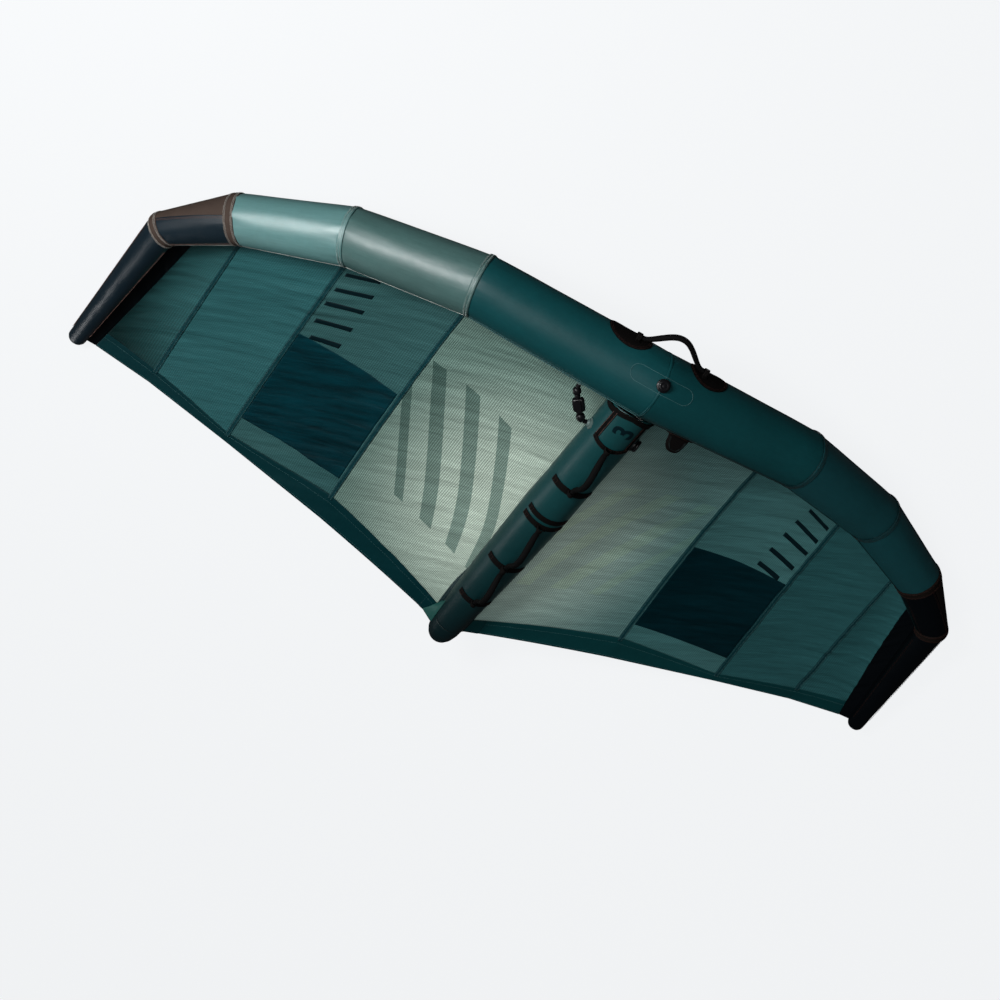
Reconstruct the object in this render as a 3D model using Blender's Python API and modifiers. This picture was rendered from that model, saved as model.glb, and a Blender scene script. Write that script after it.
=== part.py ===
"""A wingfoil wing, lying on its back as it is set down for pumping: canopy down,
strut and handles up.

Metres, +Z up. The leading edge faces -Y, the strut's tail +Y, left is -X and right
is +X. The wing rests on the two shoulders of its leading edge and on its tips, and
the origin lies on the floor under the middle of its box.
Run it with blender --background --python part.py, or from the text editor.
"""
import math

import bmesh
import bpy
from mathutils import Matrix, Vector

# Leading edge: a bent tube of ten sleeves, five on each side of the middle seam
HALF_SPAN = 1.408
SWEEP = 0.991
ARCH_HEIGHT = 0.2302
TUBE_RADIUS = 0.0915
SLEEVE_WALL = 0.001
BLADDER_WALL = 0.0006
BLADDER_CLEARANCE = 0.0010
SEAM_GAP = 0.0003
TUBE_SIDES = 32
BLADDER_SIDES = 16
span_shares = (0.0, 0.355, 0.599, 0.803, 0.923, 1.0)
sweep_shares = (0.0086, 0.0595, 0.1776, 0.331, 0.4753, 1.0)
arch_shares = (1.0, 0.581, 0.168, 0.0, 0.102, 0.0)
tube_radius_shares = (1.0, 0.922, 0.861, 0.740, 0.486, 0.297)
dome_shares = ((0.42, 0.90), (0.78, 0.62))

# Brown chafe bands sewn round the leading edge at its outer seams
CHAFE_WIDTH = 0.030
CHAFE_THICKNESS = 0.001

# Strut: one tapered tube from the middle of the leading edge to the tail
STRUT_REACH = 1.3415
STRUT_DROP = 0.167
STRUT_RADIUS = 0.0705
STRUT_SIDES = 32
TAIL_CAP_LENGTH = 0.1168
strut_profile_shares = ((0.0, 0.935), (0.16, 0.955), (0.45, 1.0), (0.70, 0.92), (0.86, 0.80), (0.945, 0.735))
tail_profile_shares = ((0.968, 0.66), (0.984, 0.53), (0.995, 0.34), (1.0, 0.0))
MERGE_DISTANCE = 0.00005

# Canopy: cloth panels between the leading edge, the strut and the trailing edge
CLOTH_THICKNESS = 0.001
CLOTH_GAP = 0.0005
CANOPY_BILLOW = 0.010
UNDER_ANGLE = 178.0
SIDE_ANGLE = 96.0
SIDE_START_SHARE = 0.62
SIDE_CLEARANCE = 0.002
TAIL_OVERHANG = 0.0625
TRAIL_Y = STRUT_REACH - TAIL_OVERHANG
TRAIL_Z = 0.160
leading_angles = (-55.0, -60.0, -55.0, -38.0, -42.0)
canopy_station_shares = (0.0, 1.0, 2.0, 3.0, 3.6)
trail_x_shares = (0.0, 0.3757, 0.6342, 0.831, 0.961)
trail_y_shares = (1.0, 0.8976, 0.8475, 0.8124, 0.789)
trail_z_shares = (1.0, 0.655, 0.325, 0.088, 0.045)
first_control_x_share = 0.2
last_control_x_share = 0.75
first_control_y_shares = (0.20, 0.194, 0.292, 0.410, 0.46)
first_control_z_shares = (1.45, 0.310, 0.220, 0.140, 0.100)
last_control_y_shares = (0.66, 0.644, 0.644, 0.668, 0.683)
last_control_z_shares = (0.95, 0.290, 0.145, 0.045, 0.045)
TIP_START_SHARE = 0.05
TIP_ANGLE_FADE_SHARE = 0.6
ROOT_SHARE = 0.004
ROOT_JOIN_SHARE = 0.075
BAND_WIDTH = 0.065
band_width_shares = (1.0, 1.40, 0.50, 0.92, 1.25)
CLOTH_ROWS = 12
CLOTH_COLUMNS = 6
TIP_ROWS = 14
TIP_COLUMNS = 3
HEM_ROW_COUNT = 2
HEM_COLUMN_COUNT = 32
FACET_MARGIN_SHARE = 0.0003
TAPE_START_SHARE = 0.02
TAPE_WIDTH = 0.018
TAPE_THICKNESS = 0.0008
TAPE_LIFT = 0.0007

# Webbing on the strut and the handles that it carries
WEBBING_THICKNESS = 0.002
WEBBING_STEPS = 16
FRAME_START = 0.095
FRAME_LENGTH = 0.125
FRAME_HALF_ANGLE = 48.0
FRAME_EDGE = 0.018
COLLAR_START = 0.030
COLLAR_HALF_ANGLE = 88.0
COLLAR_WIDTH = 0.020
STRAP_WIDTH = 0.024
BRACKET_WIDTH = 0.052
BRACKET_SLOT = 0.012
STRAP_HALF_ANGLE = 57.0
strap_place_shares = (0.3107, 0.4268, 0.6110, 0.7693)
HANDLE_RADIUS = 0.0075
HANDLE_LIFT = 0.0008
HANDLE_HEIGHT = 0.046
KEEPER_LENGTH = 0.012
KEEPER_WALL = 0.0014
KEEPER_SIDES = 16
ARCH_STEPS = 12
ARCH_FULLNESS = 1.5

# Handle on the front of the leading edge, between two oval patches
LE_HANDLE_SPREAD = 0.087
LE_HANDLE_HEIGHT = 0.050
LE_HANDLE_RADIUS = 0.0080
LE_HANDLE_ANGLE = 93.0
PATCH_ANGLE = 99.0
PATCH_LENGTH = 0.120
PATCH_HALF_ANGLE = 34.0
PATCH_MIDDLE = 0.118
OVAL_SIDES = 28

# Leash loop on the rear of the leading edge
LEASH_PLACE = 0.150
LEASH_SPREAD = 0.021
LEASH_HEIGHT = 0.036
LEASH_RADIUS = 0.0060
LEASH_ANGLE = -66.0
LEASH_PATCH_LENGTH = 0.088
LEASH_PATCH_HALF_ANGLE = 20.0

# Inflation valve on top of the middle seam, and a smaller one on the strut
VALVE_ANGLE = 37.0
VALVE_FLANGE_RADIUS = 0.0220
VALVE_STEM_RADIUS = 0.0120
VALVE_BORE_RADIUS = 0.0085
VALVE_STAND = 0.006
VALVE_DEPTH = 0.014
CAP_RADIUS = 0.0175
CAP_THICKNESS = 0.005
CAP_PLUG_DEPTH = 0.004
PLUG_CLEARANCE = 0.0015
RUN_CLEARANCE = 0.0003
KNUCKLE_RADIUS = 0.0016
KNUCKLE_HALF_LENGTH = 0.0036
KNUCKLE_CLEARANCE = 0.0005
neck_flare_share = 1.15
flange_edge_share = 0.35
cap_top_share = 0.8
cap_edge_share = 0.7
hinge_foot_share = 0.9
foot_depth_share = 0.75
VALVE_SIDES = 20
PIN_SIDES = 12
VALVE_SCALE_SHARE = 0.82
STRUT_VALVE_SETBACK = 0.022
STRUT_VALVE_ANGLE = -74.0

# Transfer hose from the leading edge to the strut, with its pinch clip
HOSE_RADIUS = 0.0065
HOSE_LE_PLACE = 0.166
HOSE_LE_ANGLE = -80.0
HOSE_STRUT_SETBACK = 0.010
HOSE_STRUT_ANGLE = 80.0
PORT_RADIUS = 0.0105
PORT_HEIGHT = 0.012
port_profile_shares = ((0.0, 1.0), (0.75, 1.0), (1.0, 0.6), (1.0, 0.25), (1.5, 0.2), (1.5, -0.6), (0.0, -0.6))
PORT_SIDES = 20
HOSE_RISE_SHARE = 0.14
HOSE_BEND_SHARE = 0.14
HOSE_BEND_STEPS = 6
HOSE_RUN_STEPS = 3
CLIP_LENGTH = 0.038
CLIP_WIDTH = 0.022
CLIP_HEIGHT = 0.020
CLIP_CLEARANCE = 0.0006
CLIP_EDGE_RADIUS = 0.0012
LEVER_THICKNESS = 0.0040
LEVER_WIDTH = 0.015

# Cloth patches at the corners between the trailing edge and the strut
PATCH_THICKNESS = 0.0012

CUT_OVERRUN = 0.010
SMOOTH_ANGLE = math.radians(35)

for leftover in list(bpy.data.objects):
    bpy.data.objects.remove(leftover, do_unlink=True)

parts = bpy.data.collections.new("wingfoil_wing")
cutters = bpy.data.collections.new("wingfoil_wing_cutters")
for made in (parts, cutters):
    bpy.context.scene.collection.children.link(made)

# Every piece hangs under this empty, which sets the finished wing on the floor
wing_frame = bpy.data.objects.new("wing_frame", None)
parts.objects.link(wing_frame)


def material(name, colour, roughness, metallic=0.0):
    made = bpy.data.materials.new(name)
    made.use_nodes = True
    shader = made.node_tree.nodes["Principled BSDF"]
    shader.inputs["Base Color"].default_value = (*colour, 1.0)
    shader.inputs["Roughness"].default_value = roughness
    shader.inputs["Metallic"].default_value = metallic
    made.diffuse_color = (*colour, 1.0)
    return made


TEAL = material("teal_dacron", (0.012, 0.075, 0.085), 0.50)
MINT = material("mint_dacron", (0.13, 0.30, 0.29), 0.45)
NAVY = material("navy_dacron", (0.006, 0.016, 0.024), 0.55)
BROWN = material("brown_chafe_cloth", (0.045, 0.026, 0.020), 0.70)
SAGE = material("sage_ripstop", (0.26, 0.36, 0.30), 0.60)
SEA = material("sea_ripstop", (0.05, 0.14, 0.14), 0.60)
DEEP = material("deep_teal_cloth", (0.010, 0.045, 0.052), 0.60)
BLADDER = material("clear_bladder_film", (0.60, 0.62, 0.60), 0.30)
WEBBING = material("black_webbing", (0.008, 0.007, 0.007), 0.80)
PLASTIC = material("black_moulded_plastic", (0.010, 0.010, 0.011), 0.35)
HOSE_GREY = material("pale_hose", (0.42, 0.44, 0.42), 0.40)
GREEN = material("green_gusset_cloth", (0.02, 0.12, 0.09), 0.50)


def add_object(name, data, surface, place=None, collection=parts):
    """Put a mesh or a curve in the scene, under the wing's frame."""
    made = bpy.data.objects.new(name, data)
    collection.objects.link(made)
    if surface:
        data.materials.append(surface)
    made.parent = wing_frame
    if place is not None:
        made.matrix_local = place
    if collection is cutters:
        made.hide_render = True
        made.display_type = "WIRE"
    return made


def finish_mesh(bm, name, surface, place=None, collection=parts):
    bmesh.ops.recalc_face_normals(bm, faces=bm.faces[:])
    mesh = bpy.data.meshes.new(name)
    bm.to_mesh(mesh)
    bm.free()
    mesh.shade_smooth()
    mesh.set_sharp_from_angle(angle=SMOOTH_ANGLE)
    return add_object(name, mesh, surface, place, collection)


def boolean(target, other, operation="DIFFERENCE"):
    step = target.modifiers.new(operation.lower(), "BOOLEAN")
    step.operation = operation
    step.solver = "EXACT"
    step.object = other
    return step


def solidify(target, thickness, offset=-1.0):
    wall = target.modifiers.new("wall", "SOLIDIFY")
    wall.thickness = thickness
    wall.offset = offset
    wall.use_even_offset = True
    return wall


def clear_of(radius, gap, sides):
    """Radius whose flats, on a ring of that many sides, clear a round of this radius."""
    return (radius + gap) / math.cos(math.pi / sides)


# Leading edge stations, numbered from -5 at the left tip to 5 at the right tip
def station_centre(index):
    rank = abs(index)
    side = -1.0 if index < 0 else 1.0
    pad = 0.0 if rank == 5 else CHAFE_THICKNESS + SEAM_GAP
    height = pad + ARCH_HEIGHT * arch_shares[rank] + station_radius(index)
    return Vector((side * HALF_SPAN * span_shares[rank], SWEEP * sweep_shares[rank], height))


def station_radius(index):
    return TUBE_RADIUS * tube_radius_shares[abs(index)]


def station_axes(index):
    """Mitre plane of a station: its normal, and the backward and upward radius vectors."""
    here = station_centre(index)
    before = (here - station_centre(index - 1)).normalized() if index > -5 else None
    after = (station_centre(index + 1) - here).normalized() if index < 5 else None
    before = before or after
    after = after or before
    normal = (before + after).normalized()
    back = Vector((0.0, 0.0, 1.0)).cross(normal).normalized()
    up = normal.cross(back)
    bend = after - before
    if bend.length > 1e-6:
        bend.normalize()
        stretch = 1.0 / normal.dot(before) - 1.0
        back = back + bend * (bend.dot(back) * stretch)
        up = up + bend * (bend.dot(up) * stretch)
    return normal, back, up


def ring_matrix(index, radius, shift=0.0, toward=None):
    """Unit circle to tube ring, moved by shift along the segment that leads toward."""
    normal, back, up = station_axes(index)
    centre = station_centre(index)
    if toward is not None:
        centre = centre + (station_centre(toward) - centre).normalized() * shift
    columns = Matrix((back * radius, up * radius, normal * radius)).transposed().to_4x4()
    columns.translation = centre
    return columns


def add_ring(bm, matrix, sides=TUBE_SIDES):
    made = bmesh.ops.create_circle(bm, segments=sides, radius=1.0, matrix=matrix)
    return made["verts"]


def loop_edges(verts):
    kept = set(verts)
    return [edge for edge in {e for v in verts for e in v.link_edges} if set(edge.verts) <= kept]


def loft(bm, rings):
    """Skin between rings of equal count whose points are numbered alike."""
    for first, second in zip(rings, rings[1:]):
        for here, after in zip(range(-1, len(first) - 1), range(len(first))):
            bm.faces.new((first[here], first[after], second[after], second[here]))


def cap_ring(bm, verts):
    bmesh.ops.contextual_create(bm, geom=loop_edges(verts))


def dome_rings(bm, index, radius, sides=TUBE_SIDES):
    """Rounded end of a tip tube: two shrinking rings beyond the last station."""
    normal = station_axes(index)[0] * (1.0 if index > 0 else -1.0)
    rings = []
    for reach_share, radius_share in dome_shares:
        matrix = ring_matrix(index, radius * radius_share)
        matrix.translation = matrix.translation + normal * (radius * reach_share)
        rings.append(add_ring(bm, matrix, sides))
    return rings


def sleeve(name, inner_end, outer_end, surface):
    """Open cloth tube between two stations."""
    bm = bmesh.new()
    half = SEAM_GAP / 2
    near = station_radius(inner_end)
    far = station_radius(outer_end)
    rings = [
        add_ring(bm, ring_matrix(inner_end, near, half, outer_end)),
        add_ring(bm, ring_matrix(outer_end, far, half, inner_end)),
        add_ring(bm, ring_matrix(outer_end, far - SLEEVE_WALL, half, inner_end)),
        add_ring(bm, ring_matrix(inner_end, near - SLEEVE_WALL, half, outer_end)),
    ]
    loft(bm, rings + rings[:1])
    return finish_mesh(bm, name, surface)


def tip_sleeve(name, inner_end, tip, surface):
    """Cloth tube of a wing tip, closed by a dome at its end."""
    bm = bmesh.new()
    half = SEAM_GAP / 2
    skins = []
    for wall in (0.0, SLEEVE_WALL):
        near = station_radius(inner_end) - wall
        far = station_radius(tip) - wall
        rings = [add_ring(bm, ring_matrix(inner_end, near, half, tip)), add_ring(bm, ring_matrix(tip, far))]
        rings += dome_rings(bm, tip, far)
        loft(bm, rings)
        cap_ring(bm, rings[-1])
        skins.append(rings)
    loft(bm, [skins[0][0], skins[1][0]])
    return finish_mesh(bm, name, surface)


def edge_tube(name, radius_change, reach, surface, collection, sides=TUBE_SIDES):
    """Closed tube along the leading edge, between the stations -reach and reach."""
    bm = bmesh.new()
    rings = []
    for index in range(-reach, reach + 1):
        rings.append(add_ring(bm, ring_matrix(index, station_radius(index) + radius_change), sides))
    if reach == 5:
        rings = dome_rings(bm, -5, station_radius(5) + radius_change, sides)[::-1] + rings
        rings += dome_rings(bm, 5, station_radius(5) + radius_change, sides)
    loft(bm, rings)
    cap_ring(bm, rings[0])
    cap_ring(bm, rings[-1])
    return finish_mesh(bm, name, surface, None, collection)


def band_rings(bm, index, clearance, width):
    """Three rings round a seam of the leading edge, clear of its sleeves."""
    rings = []
    outward = index + (1 if index > 0 else -1)
    for toward in (2 * index - outward, None, outward):
        size = station_radius(index) + clearance
        if toward is not None:
            length = (station_centre(toward) - station_centre(index)).length
            size += (station_radius(toward) - station_radius(index)) * width / 2 / length
        rings.append(add_ring(bm, ring_matrix(index, size, width / 2, toward)))
    return rings


def chafe_band(name, index, surface):
    """Reinforcing band round a seam, and a larger plug that cuts the canopy clear of it."""
    bm = bmesh.new()
    inner = band_rings(bm, index, SEAM_GAP, CHAFE_WIDTH)
    loop = inner + band_rings(bm, index, SEAM_GAP + CHAFE_THICKNESS, CHAFE_WIDTH)[::-1]
    loft(bm, loop + loop[:1])
    finish_mesh(bm, name, surface)
    bm = bmesh.new()
    rings = band_rings(bm, index, CHAFE_THICKNESS + 2 * SEAM_GAP, CHAFE_WIDTH + 2 * SEAM_GAP)
    loft(bm, rings)
    cap_ring(bm, rings[0])
    cap_ring(bm, rings[-1])
    return finish_mesh(bm, f"{name}_plug", None, None, cutters)


def tube_point(place, angle, clearance):
    """Point on the right half of the leading edge; place counts stations from the middle."""
    low = min(int(place), 4)
    share = place - low
    points = []
    for index in (low, low + 1):
        matrix = ring_matrix(index, station_radius(index) + clearance)
        turn = math.radians(angle)
        points.append(matrix @ Vector((math.cos(turn), math.sin(turn), 0.0)))
    return points[0].lerp(points[1], share)


# The strut's own frame: its axis is local Z, and local -Y is its top
strut_start = station_centre(0)
strut_slope = math.atan2(STRUT_DROP, STRUT_REACH)
strut_length = math.hypot(STRUT_REACH, STRUT_DROP)
tail_seam = strut_length - TAIL_CAP_LENGTH
strut_place = Matrix.Translation(strut_start) @ Matrix.Rotation(-math.pi / 2 - strut_slope, 4, "X")


def interpolate(pairs, at):
    for (x0, y0), (x1, y1) in zip(pairs, pairs[1:]):
        if at <= x1:
            return y0 + (y1 - y0) * (at - x0) / (x1 - x0)
    return pairs[-1][1]


def strut_radius(distance):
    return STRUT_RADIUS * interpolate(strut_profile_shares + tail_profile_shares, distance / strut_length)


def strut_point(distance, angle, radius):
    """Point round the strut; angle counts from its top towards +X, in degrees."""
    turn = math.radians(angle)
    return strut_place @ Vector((radius * math.sin(turn), -radius * math.cos(turn), distance))


def turned(name, profile, surface, place, sides=STRUT_SIDES, collection=parts, closed=True):
    """Turn a profile of (radius, height) points about local Z with a Screw modifier."""
    bm = bmesh.new()
    verts = [bm.verts.new((radius, 0.0, height)) for radius, height in profile]
    for first, second in zip(verts, verts[1:]):
        bm.edges.new((first, second))
    if closed:
        bm.edges.new((verts[-1], verts[0]))
    mesh = bpy.data.meshes.new(name)
    bm.to_mesh(mesh)
    bm.free()
    made = add_object(name, mesh, surface, place, collection)
    screw = made.modifiers.new("turn", "SCREW")
    screw.angle = math.tau
    screw.steps = sides
    screw.render_steps = sides
    screw.use_merge_vertices = True
    screw.merge_threshold = MERGE_DISTANCE
    screw.use_smooth_shade = False
    return made


def strut_profile(start, stop, inset):
    """Radius and distance points of the strut's skin between two distances."""
    tops = sorted({start, stop} | {share * strut_length for share, radius in
                                   strut_profile_shares + tail_profile_shares
                                   if start < share * strut_length < stop})
    return [(max(strut_radius(distance) - inset, 0.0), distance) for distance in tops]


def saddle(bm, start, stop, inner_start, inner_stop, thickness, half_angle, middle=0.0):
    """Curved plate round local Z: a rectangle spun through twice the half angle."""
    turn = math.radians(middle - half_angle)
    corners = ((inner_start, start), (inner_stop, stop), (inner_stop + thickness, stop),
               (inner_start + thickness, start))
    verts = [bm.verts.new((r * math.sin(turn), -r * math.cos(turn), z)) for r, z in corners]
    edges = [bm.edges.new((verts[i], verts[(i + 1) % 4])) for i in range(4)]
    bmesh.ops.spin(bm, geom=verts + edges, cent=(0, 0, 0), axis=(0, 0, 1), dvec=(0, 0, 0),
                   angle=math.radians(2 * half_angle), steps=WEBBING_STEPS, use_merge=False,
                   use_duplicate=False)
    open_edges = [edge for edge in bm.edges if len(edge.link_faces) == 1]
    bmesh.ops.holes_fill(bm, edges=open_edges, sides=4)


def strut_saddle(name, start, stop, half_angle, surface, thickness=WEBBING_THICKNESS, lift=SEAM_GAP,
                 collection=parts, middle=0.0):
    bm = bmesh.new()
    sides = WEBBING_STEPS * 180.0 / half_angle
    saddle(bm, start, stop, clear_of(strut_radius(start), lift, sides),
           clear_of(strut_radius(stop), lift, sides), thickness, half_angle, middle)
    return finish_mesh(bm, name, surface, strut_place, collection)


def cylinder(bm, radius, start, stop, sides, place=None):
    """Cylinder along local Z between two heights."""
    shift = Matrix.Translation((0.0, 0.0, (start + stop) / 2))
    matrix = (place or Matrix()) @ shift
    bmesh.ops.create_cone(bm, cap_ends=True, cap_tris=False, segments=sides, radius1=radius,
                          radius2=radius, depth=stop - start, matrix=matrix)


def frame_along(origin, direction, up):
    """Matrix with local Z along direction and local -Y as near to up as it goes."""
    z_axis = direction.normalized()
    y_axis = (up.project(z_axis) - up).normalized()
    x_axis = y_axis.cross(z_axis)
    made = Matrix((x_axis, y_axis, z_axis)).transposed().to_4x4()
    made.translation = origin
    return made


def arch_points(start, stop, rise, height, radius):
    """Handle route: leaves each end along the line between them and arches over."""
    line = (stop - start).normalized()
    inner_start = start + line * radius
    inner_stop = stop - line * radius
    points = [start]
    for step in range(ARCH_STEPS + 1):
        share = step / ARCH_STEPS
        lift = height * math.sin(math.pi * share) ** ARCH_FULLNESS
        points.append(inner_start.lerp(inner_stop, share) + rise * lift)
    return points + [stop]


def round_cord(name, points, radius, surface, origin, resolution=3):
    """Round bar along points, its origin on the middle of its joint's axis."""
    curve = bpy.data.curves.new(name, "CURVE")
    curve.dimensions = "3D"
    curve.bevel_depth = radius
    curve.bevel_resolution = resolution
    curve.use_fill_caps = True
    spline = curve.splines.new("POLY")
    spline.points.add(len(points) - 1)
    for slot, point in zip(spline.points, points):
        slot.co = (*(point - origin), 1.0)
    return add_object(name, curve, surface, Matrix.Translation(origin))


def keeper(bm, tip, away, radius):
    """Sewn socket that a handle's end sits against, coaxial with the handle's hinge."""
    place = frame_along(tip, away, Vector((0.0, 0.0, 1.0)))
    cylinder(bm, radius + KEEPER_WALL, SEAM_GAP, SEAM_GAP + KEEPER_LENGTH, KEEPER_SIDES, place)


def join_keepers(target, ends, radius):
    """Fuse sockets, given in layout coordinates, to a webbing plate."""
    for number, (tip, away) in enumerate(ends):
        bm = bmesh.new()
        keeper(bm, tip, away, radius)
        made = finish_mesh(bm, f"{target.name}_keeper_{number}", None, None, cutters)
        boolean(target, made, "UNION")


# Leading edge sleeves, bladder and chafe bands
sleeve_names = ("centre", "inner", "outer", "shoulder", "tip")
sleeve_cloth = {"left": (TEAL, TEAL, TEAL, NAVY, NAVY), "right": (TEAL, MINT, MINT, NAVY, NAVY)}
valve_seat = []
plugs = {}
for side_name, side in (("left", -1), ("right", 1)):
    for rank in range(4):
        made = sleeve(f"le_sleeve_{sleeve_names[rank]}_{side_name}", side * rank, side * (rank + 1),
                      sleeve_cloth[side_name][rank])
        if rank == 0:
            valve_seat.append(made)
    tip_sleeve(f"le_sleeve_tip_{side_name}", 4 * side, 5 * side, sleeve_cloth[side_name][4])
    plugs[3 * side] = chafe_band(f"chafe_band_outer_{side_name}", 3 * side, BROWN)
    plugs[4 * side] = chafe_band(f"chafe_band_shoulder_{side_name}", 4 * side, BROWN)

le_bladder = edge_tube("le_bladder", -SLEEVE_WALL - BLADDER_CLEARANCE, 5, BLADDER, parts, BLADDER_SIDES)
solidify(le_bladder, BLADDER_WALL)
le_cutter = edge_tube("le_cutter", SEAM_GAP, 1, None, cutters)

# Strut sleeve, tail cap and bladder
skin = strut_profile(STRUT_RADIUS / 2, tail_seam - SEAM_GAP / 2, 0.0)
lining = strut_profile(STRUT_RADIUS / 2, tail_seam - SEAM_GAP / 2, SLEEVE_WALL)
strut_sleeve = turned("strut_sleeve", skin[::-1] + lining, TEAL, strut_place)
boolean(strut_sleeve, le_cutter)

skin = strut_profile(tail_seam + SEAM_GAP / 2, strut_length, 0.0)
lining = strut_profile(tail_seam + SEAM_GAP / 2, strut_length, SLEEVE_WALL)
lining = [(radius, distance) for radius, distance in lining if radius > 0.0][:-1]
lining.append((0.0, strut_length - 2 * SLEEVE_WALL))
turned("strut_tail_cap", skin[::-1] + lining, TEAL, strut_place, closed=False)

bladder_start = station_radius(0) + STRUT_RADIUS / 4
bladder_inset = SLEEVE_WALL + SEAM_GAP
film = strut_profile(bladder_start + STRUT_RADIUS / 4, strut_length - STRUT_RADIUS / 2, bladder_inset)
film = [(0.0, bladder_start)] + film + [(0.0, strut_length - STRUT_RADIUS / 4)]
strut_bladder = turned("strut_bladder", film[::-1], BLADDER, strut_place, BLADDER_SIDES, closed=False)
solidify(strut_bladder, BLADDER_WALL)


# Canopy surface: each spanwise place has a rib, a cubic from the leading edge to the tail
def smooth_blend(values, place):
    """Catmull-Rom through values at whole places."""
    low = min(int(place), len(values) - 2)
    share = place - low
    at = [values[min(max(index, 0), len(values) - 1)] for index in range(low - 1, low + 3)]
    return (at[1] + (at[2] - at[0]) * share / 2
            + (at[0] - at[1] * 2.5 + at[2] * 2 - at[3] / 2) * share ** 2
            + ((at[1] - at[2]) * 1.5 + (at[3] - at[0]) / 2) * share ** 3)


def straight_blend(values, place):
    low = min(int(place), len(values) - 2)
    return values[low] + (values[low + 1] - values[low]) * (place - low)


def cubic(start, first, last, stop, along):
    """Point of a cubic curve through start and stop with two control points."""
    rest = 1.0 - along
    return (start * rest ** 3 + first * (3 * rest ** 2 * along)
            + last * (3 * rest * along ** 2) + stop * along ** 3)


def rib_ends():
    """Trailing edge points and inner control points of the ribs, as vectors."""
    trail, first, last = [], [], []
    for rank in range(5):
        place = canopy_station_shares[rank]
        lead = tube_point(place, leading_angles[rank], CLOTH_GAP)
        x_end = HALF_SPAN * trail_x_shares[rank]
        trail.append(Vector((x_end, TRAIL_Y * trail_y_shares[rank], TRAIL_Z * trail_z_shares[rank])))
        first.append(Vector((lead.x + (x_end - lead.x) * first_control_x_share,
                             TRAIL_Y * first_control_y_shares[rank], TRAIL_Z * first_control_z_shares[rank])))
        last.append(Vector((lead.x + (x_end - lead.x) * last_control_x_share,
                            TRAIL_Y * last_control_y_shares[rank], TRAIL_Z * last_control_z_shares[rank])))
    return trail, first, last


trail_points, first_controls, last_controls = rib_ends()
lead_root = tube_point(0.0, leading_angles[0], CLOTH_GAP)


def strut_side(along):
    """Where the canopy meets the strut: under it in front, at its side by the tail."""
    y_here = lead_root.y + (TRAIL_Y - lead_root.y) * along
    distance = (y_here - strut_start.y) / math.cos(strut_slope)
    ramp = min(max((along - SIDE_START_SHARE) / (1 - SIDE_START_SHARE), 0.0), 1.0)
    ramp = ramp * ramp * (3 - 2 * ramp)
    angle = UNDER_ANGLE + (SIDE_ANGLE - UNDER_ANGLE) * ramp
    clearance = CLOTH_GAP + SEAM_GAP + SIDE_CLEARANCE * math.sin(math.pi * ramp)
    return strut_point(distance, angle, strut_radius(distance) + clearance)


def canopy_point(along, place):
    """Point of the right canopy; along runs 0 to 1 from front to rear, place counts ribs."""
    station = straight_blend(canopy_station_shares, place)
    lead = tube_point(station, straight_blend(leading_angles, place), CLOTH_GAP)
    tail = straight_blend(trail_points, place)
    first = smooth_blend(first_controls, place)
    last = smooth_blend(last_controls, place)
    point = cubic(lead, first, last, tail, along)
    if place < 1.0:
        straight = cubic(lead_root, first_controls[0], last_controls[0], trail_points[0], along)
        root = lead_root.lerp(strut_side(ROOT_JOIN_SHARE), min(along / ROOT_JOIN_SHARE, 1.0))
        if along > ROOT_JOIN_SHARE:
            root = strut_side(along)
        point = point + (root - straight) * (1.0 - place) ** 2
    share = place - int(place)
    point.z -= CANOPY_BILLOW * 4 * share * (1 - share) * math.sin(math.pi * along)
    return point


def band_start(place):
    """Share of the chord at which the trailing edge band begins."""
    front = canopy_point(0.0, place)
    rear = canopy_point(1.0, place)
    return 1.0 - BAND_WIDTH * straight_blend(band_width_shares, place) / (rear - front).length


def cloth_sheet(name, surface, side, columns, rows, point_at, thickness, lift=0.0):
    """Grid bent to a surface and thickened downwards from it."""
    bm = bmesh.new()
    bmesh.ops.create_grid(bm, x_segments=rows, y_segments=columns, size=0.5)
    for vert in bm.verts:
        point = point_at(vert.co.x + 0.5, vert.co.y + 0.5)
        vert.co = Vector((point.x * side, point.y, point.z))
    mesh = bpy.data.meshes.new(name)
    bm.normal_update()
    if sum(face.normal.z for face in bm.faces) < 0:
        bmesh.ops.reverse_faces(bm, faces=bm.faces[:])
    bm.to_mesh(mesh)
    bm.free()
    mesh.shade_smooth()
    made = add_object(name, mesh, surface)
    solidify(made, thickness, -1.0 if lift == 0.0 else 1.0)
    return made


canopy_names = ("centre", "inner", "outer", "shoulder")
canopy_cloth = (SAGE, SEA, SEA, DEEP)
tape_names = ("inner", "outer", "shoulder")


def trim(length, place):
    """Share of the chord that a length covers at a spanwise place."""
    return length / (canopy_point(1.0, place) - canopy_point(0.0, place)).length


def panel_surface(along, place):
    """Point of a panel, whose rear edge stops short of the trailing edge band."""
    return canopy_point(along * (band_start(place) - trim(SEAM_GAP, place)), place)


def panel_facet(along, place):
    """Point on the flat faces of a panel, a little behind its front edge at the least."""
    row = min(max(along, TAPE_START_SHARE) * CLOTH_ROWS, CLOTH_ROWS - FACET_MARGIN_SHARE)
    front = panel_surface(int(row) / CLOTH_ROWS, place)
    return front.lerp(panel_surface((int(row) + 1) / CLOTH_ROWS, place), row - int(row))


def hem_surface(along, across):
    place = ROOT_SHARE + (4.0 - 2 * ROOT_SHARE) * across
    start = band_start(place) + trim(SEAM_GAP, place)
    return canopy_point(start + (1.0 - start) * along, place)


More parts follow.
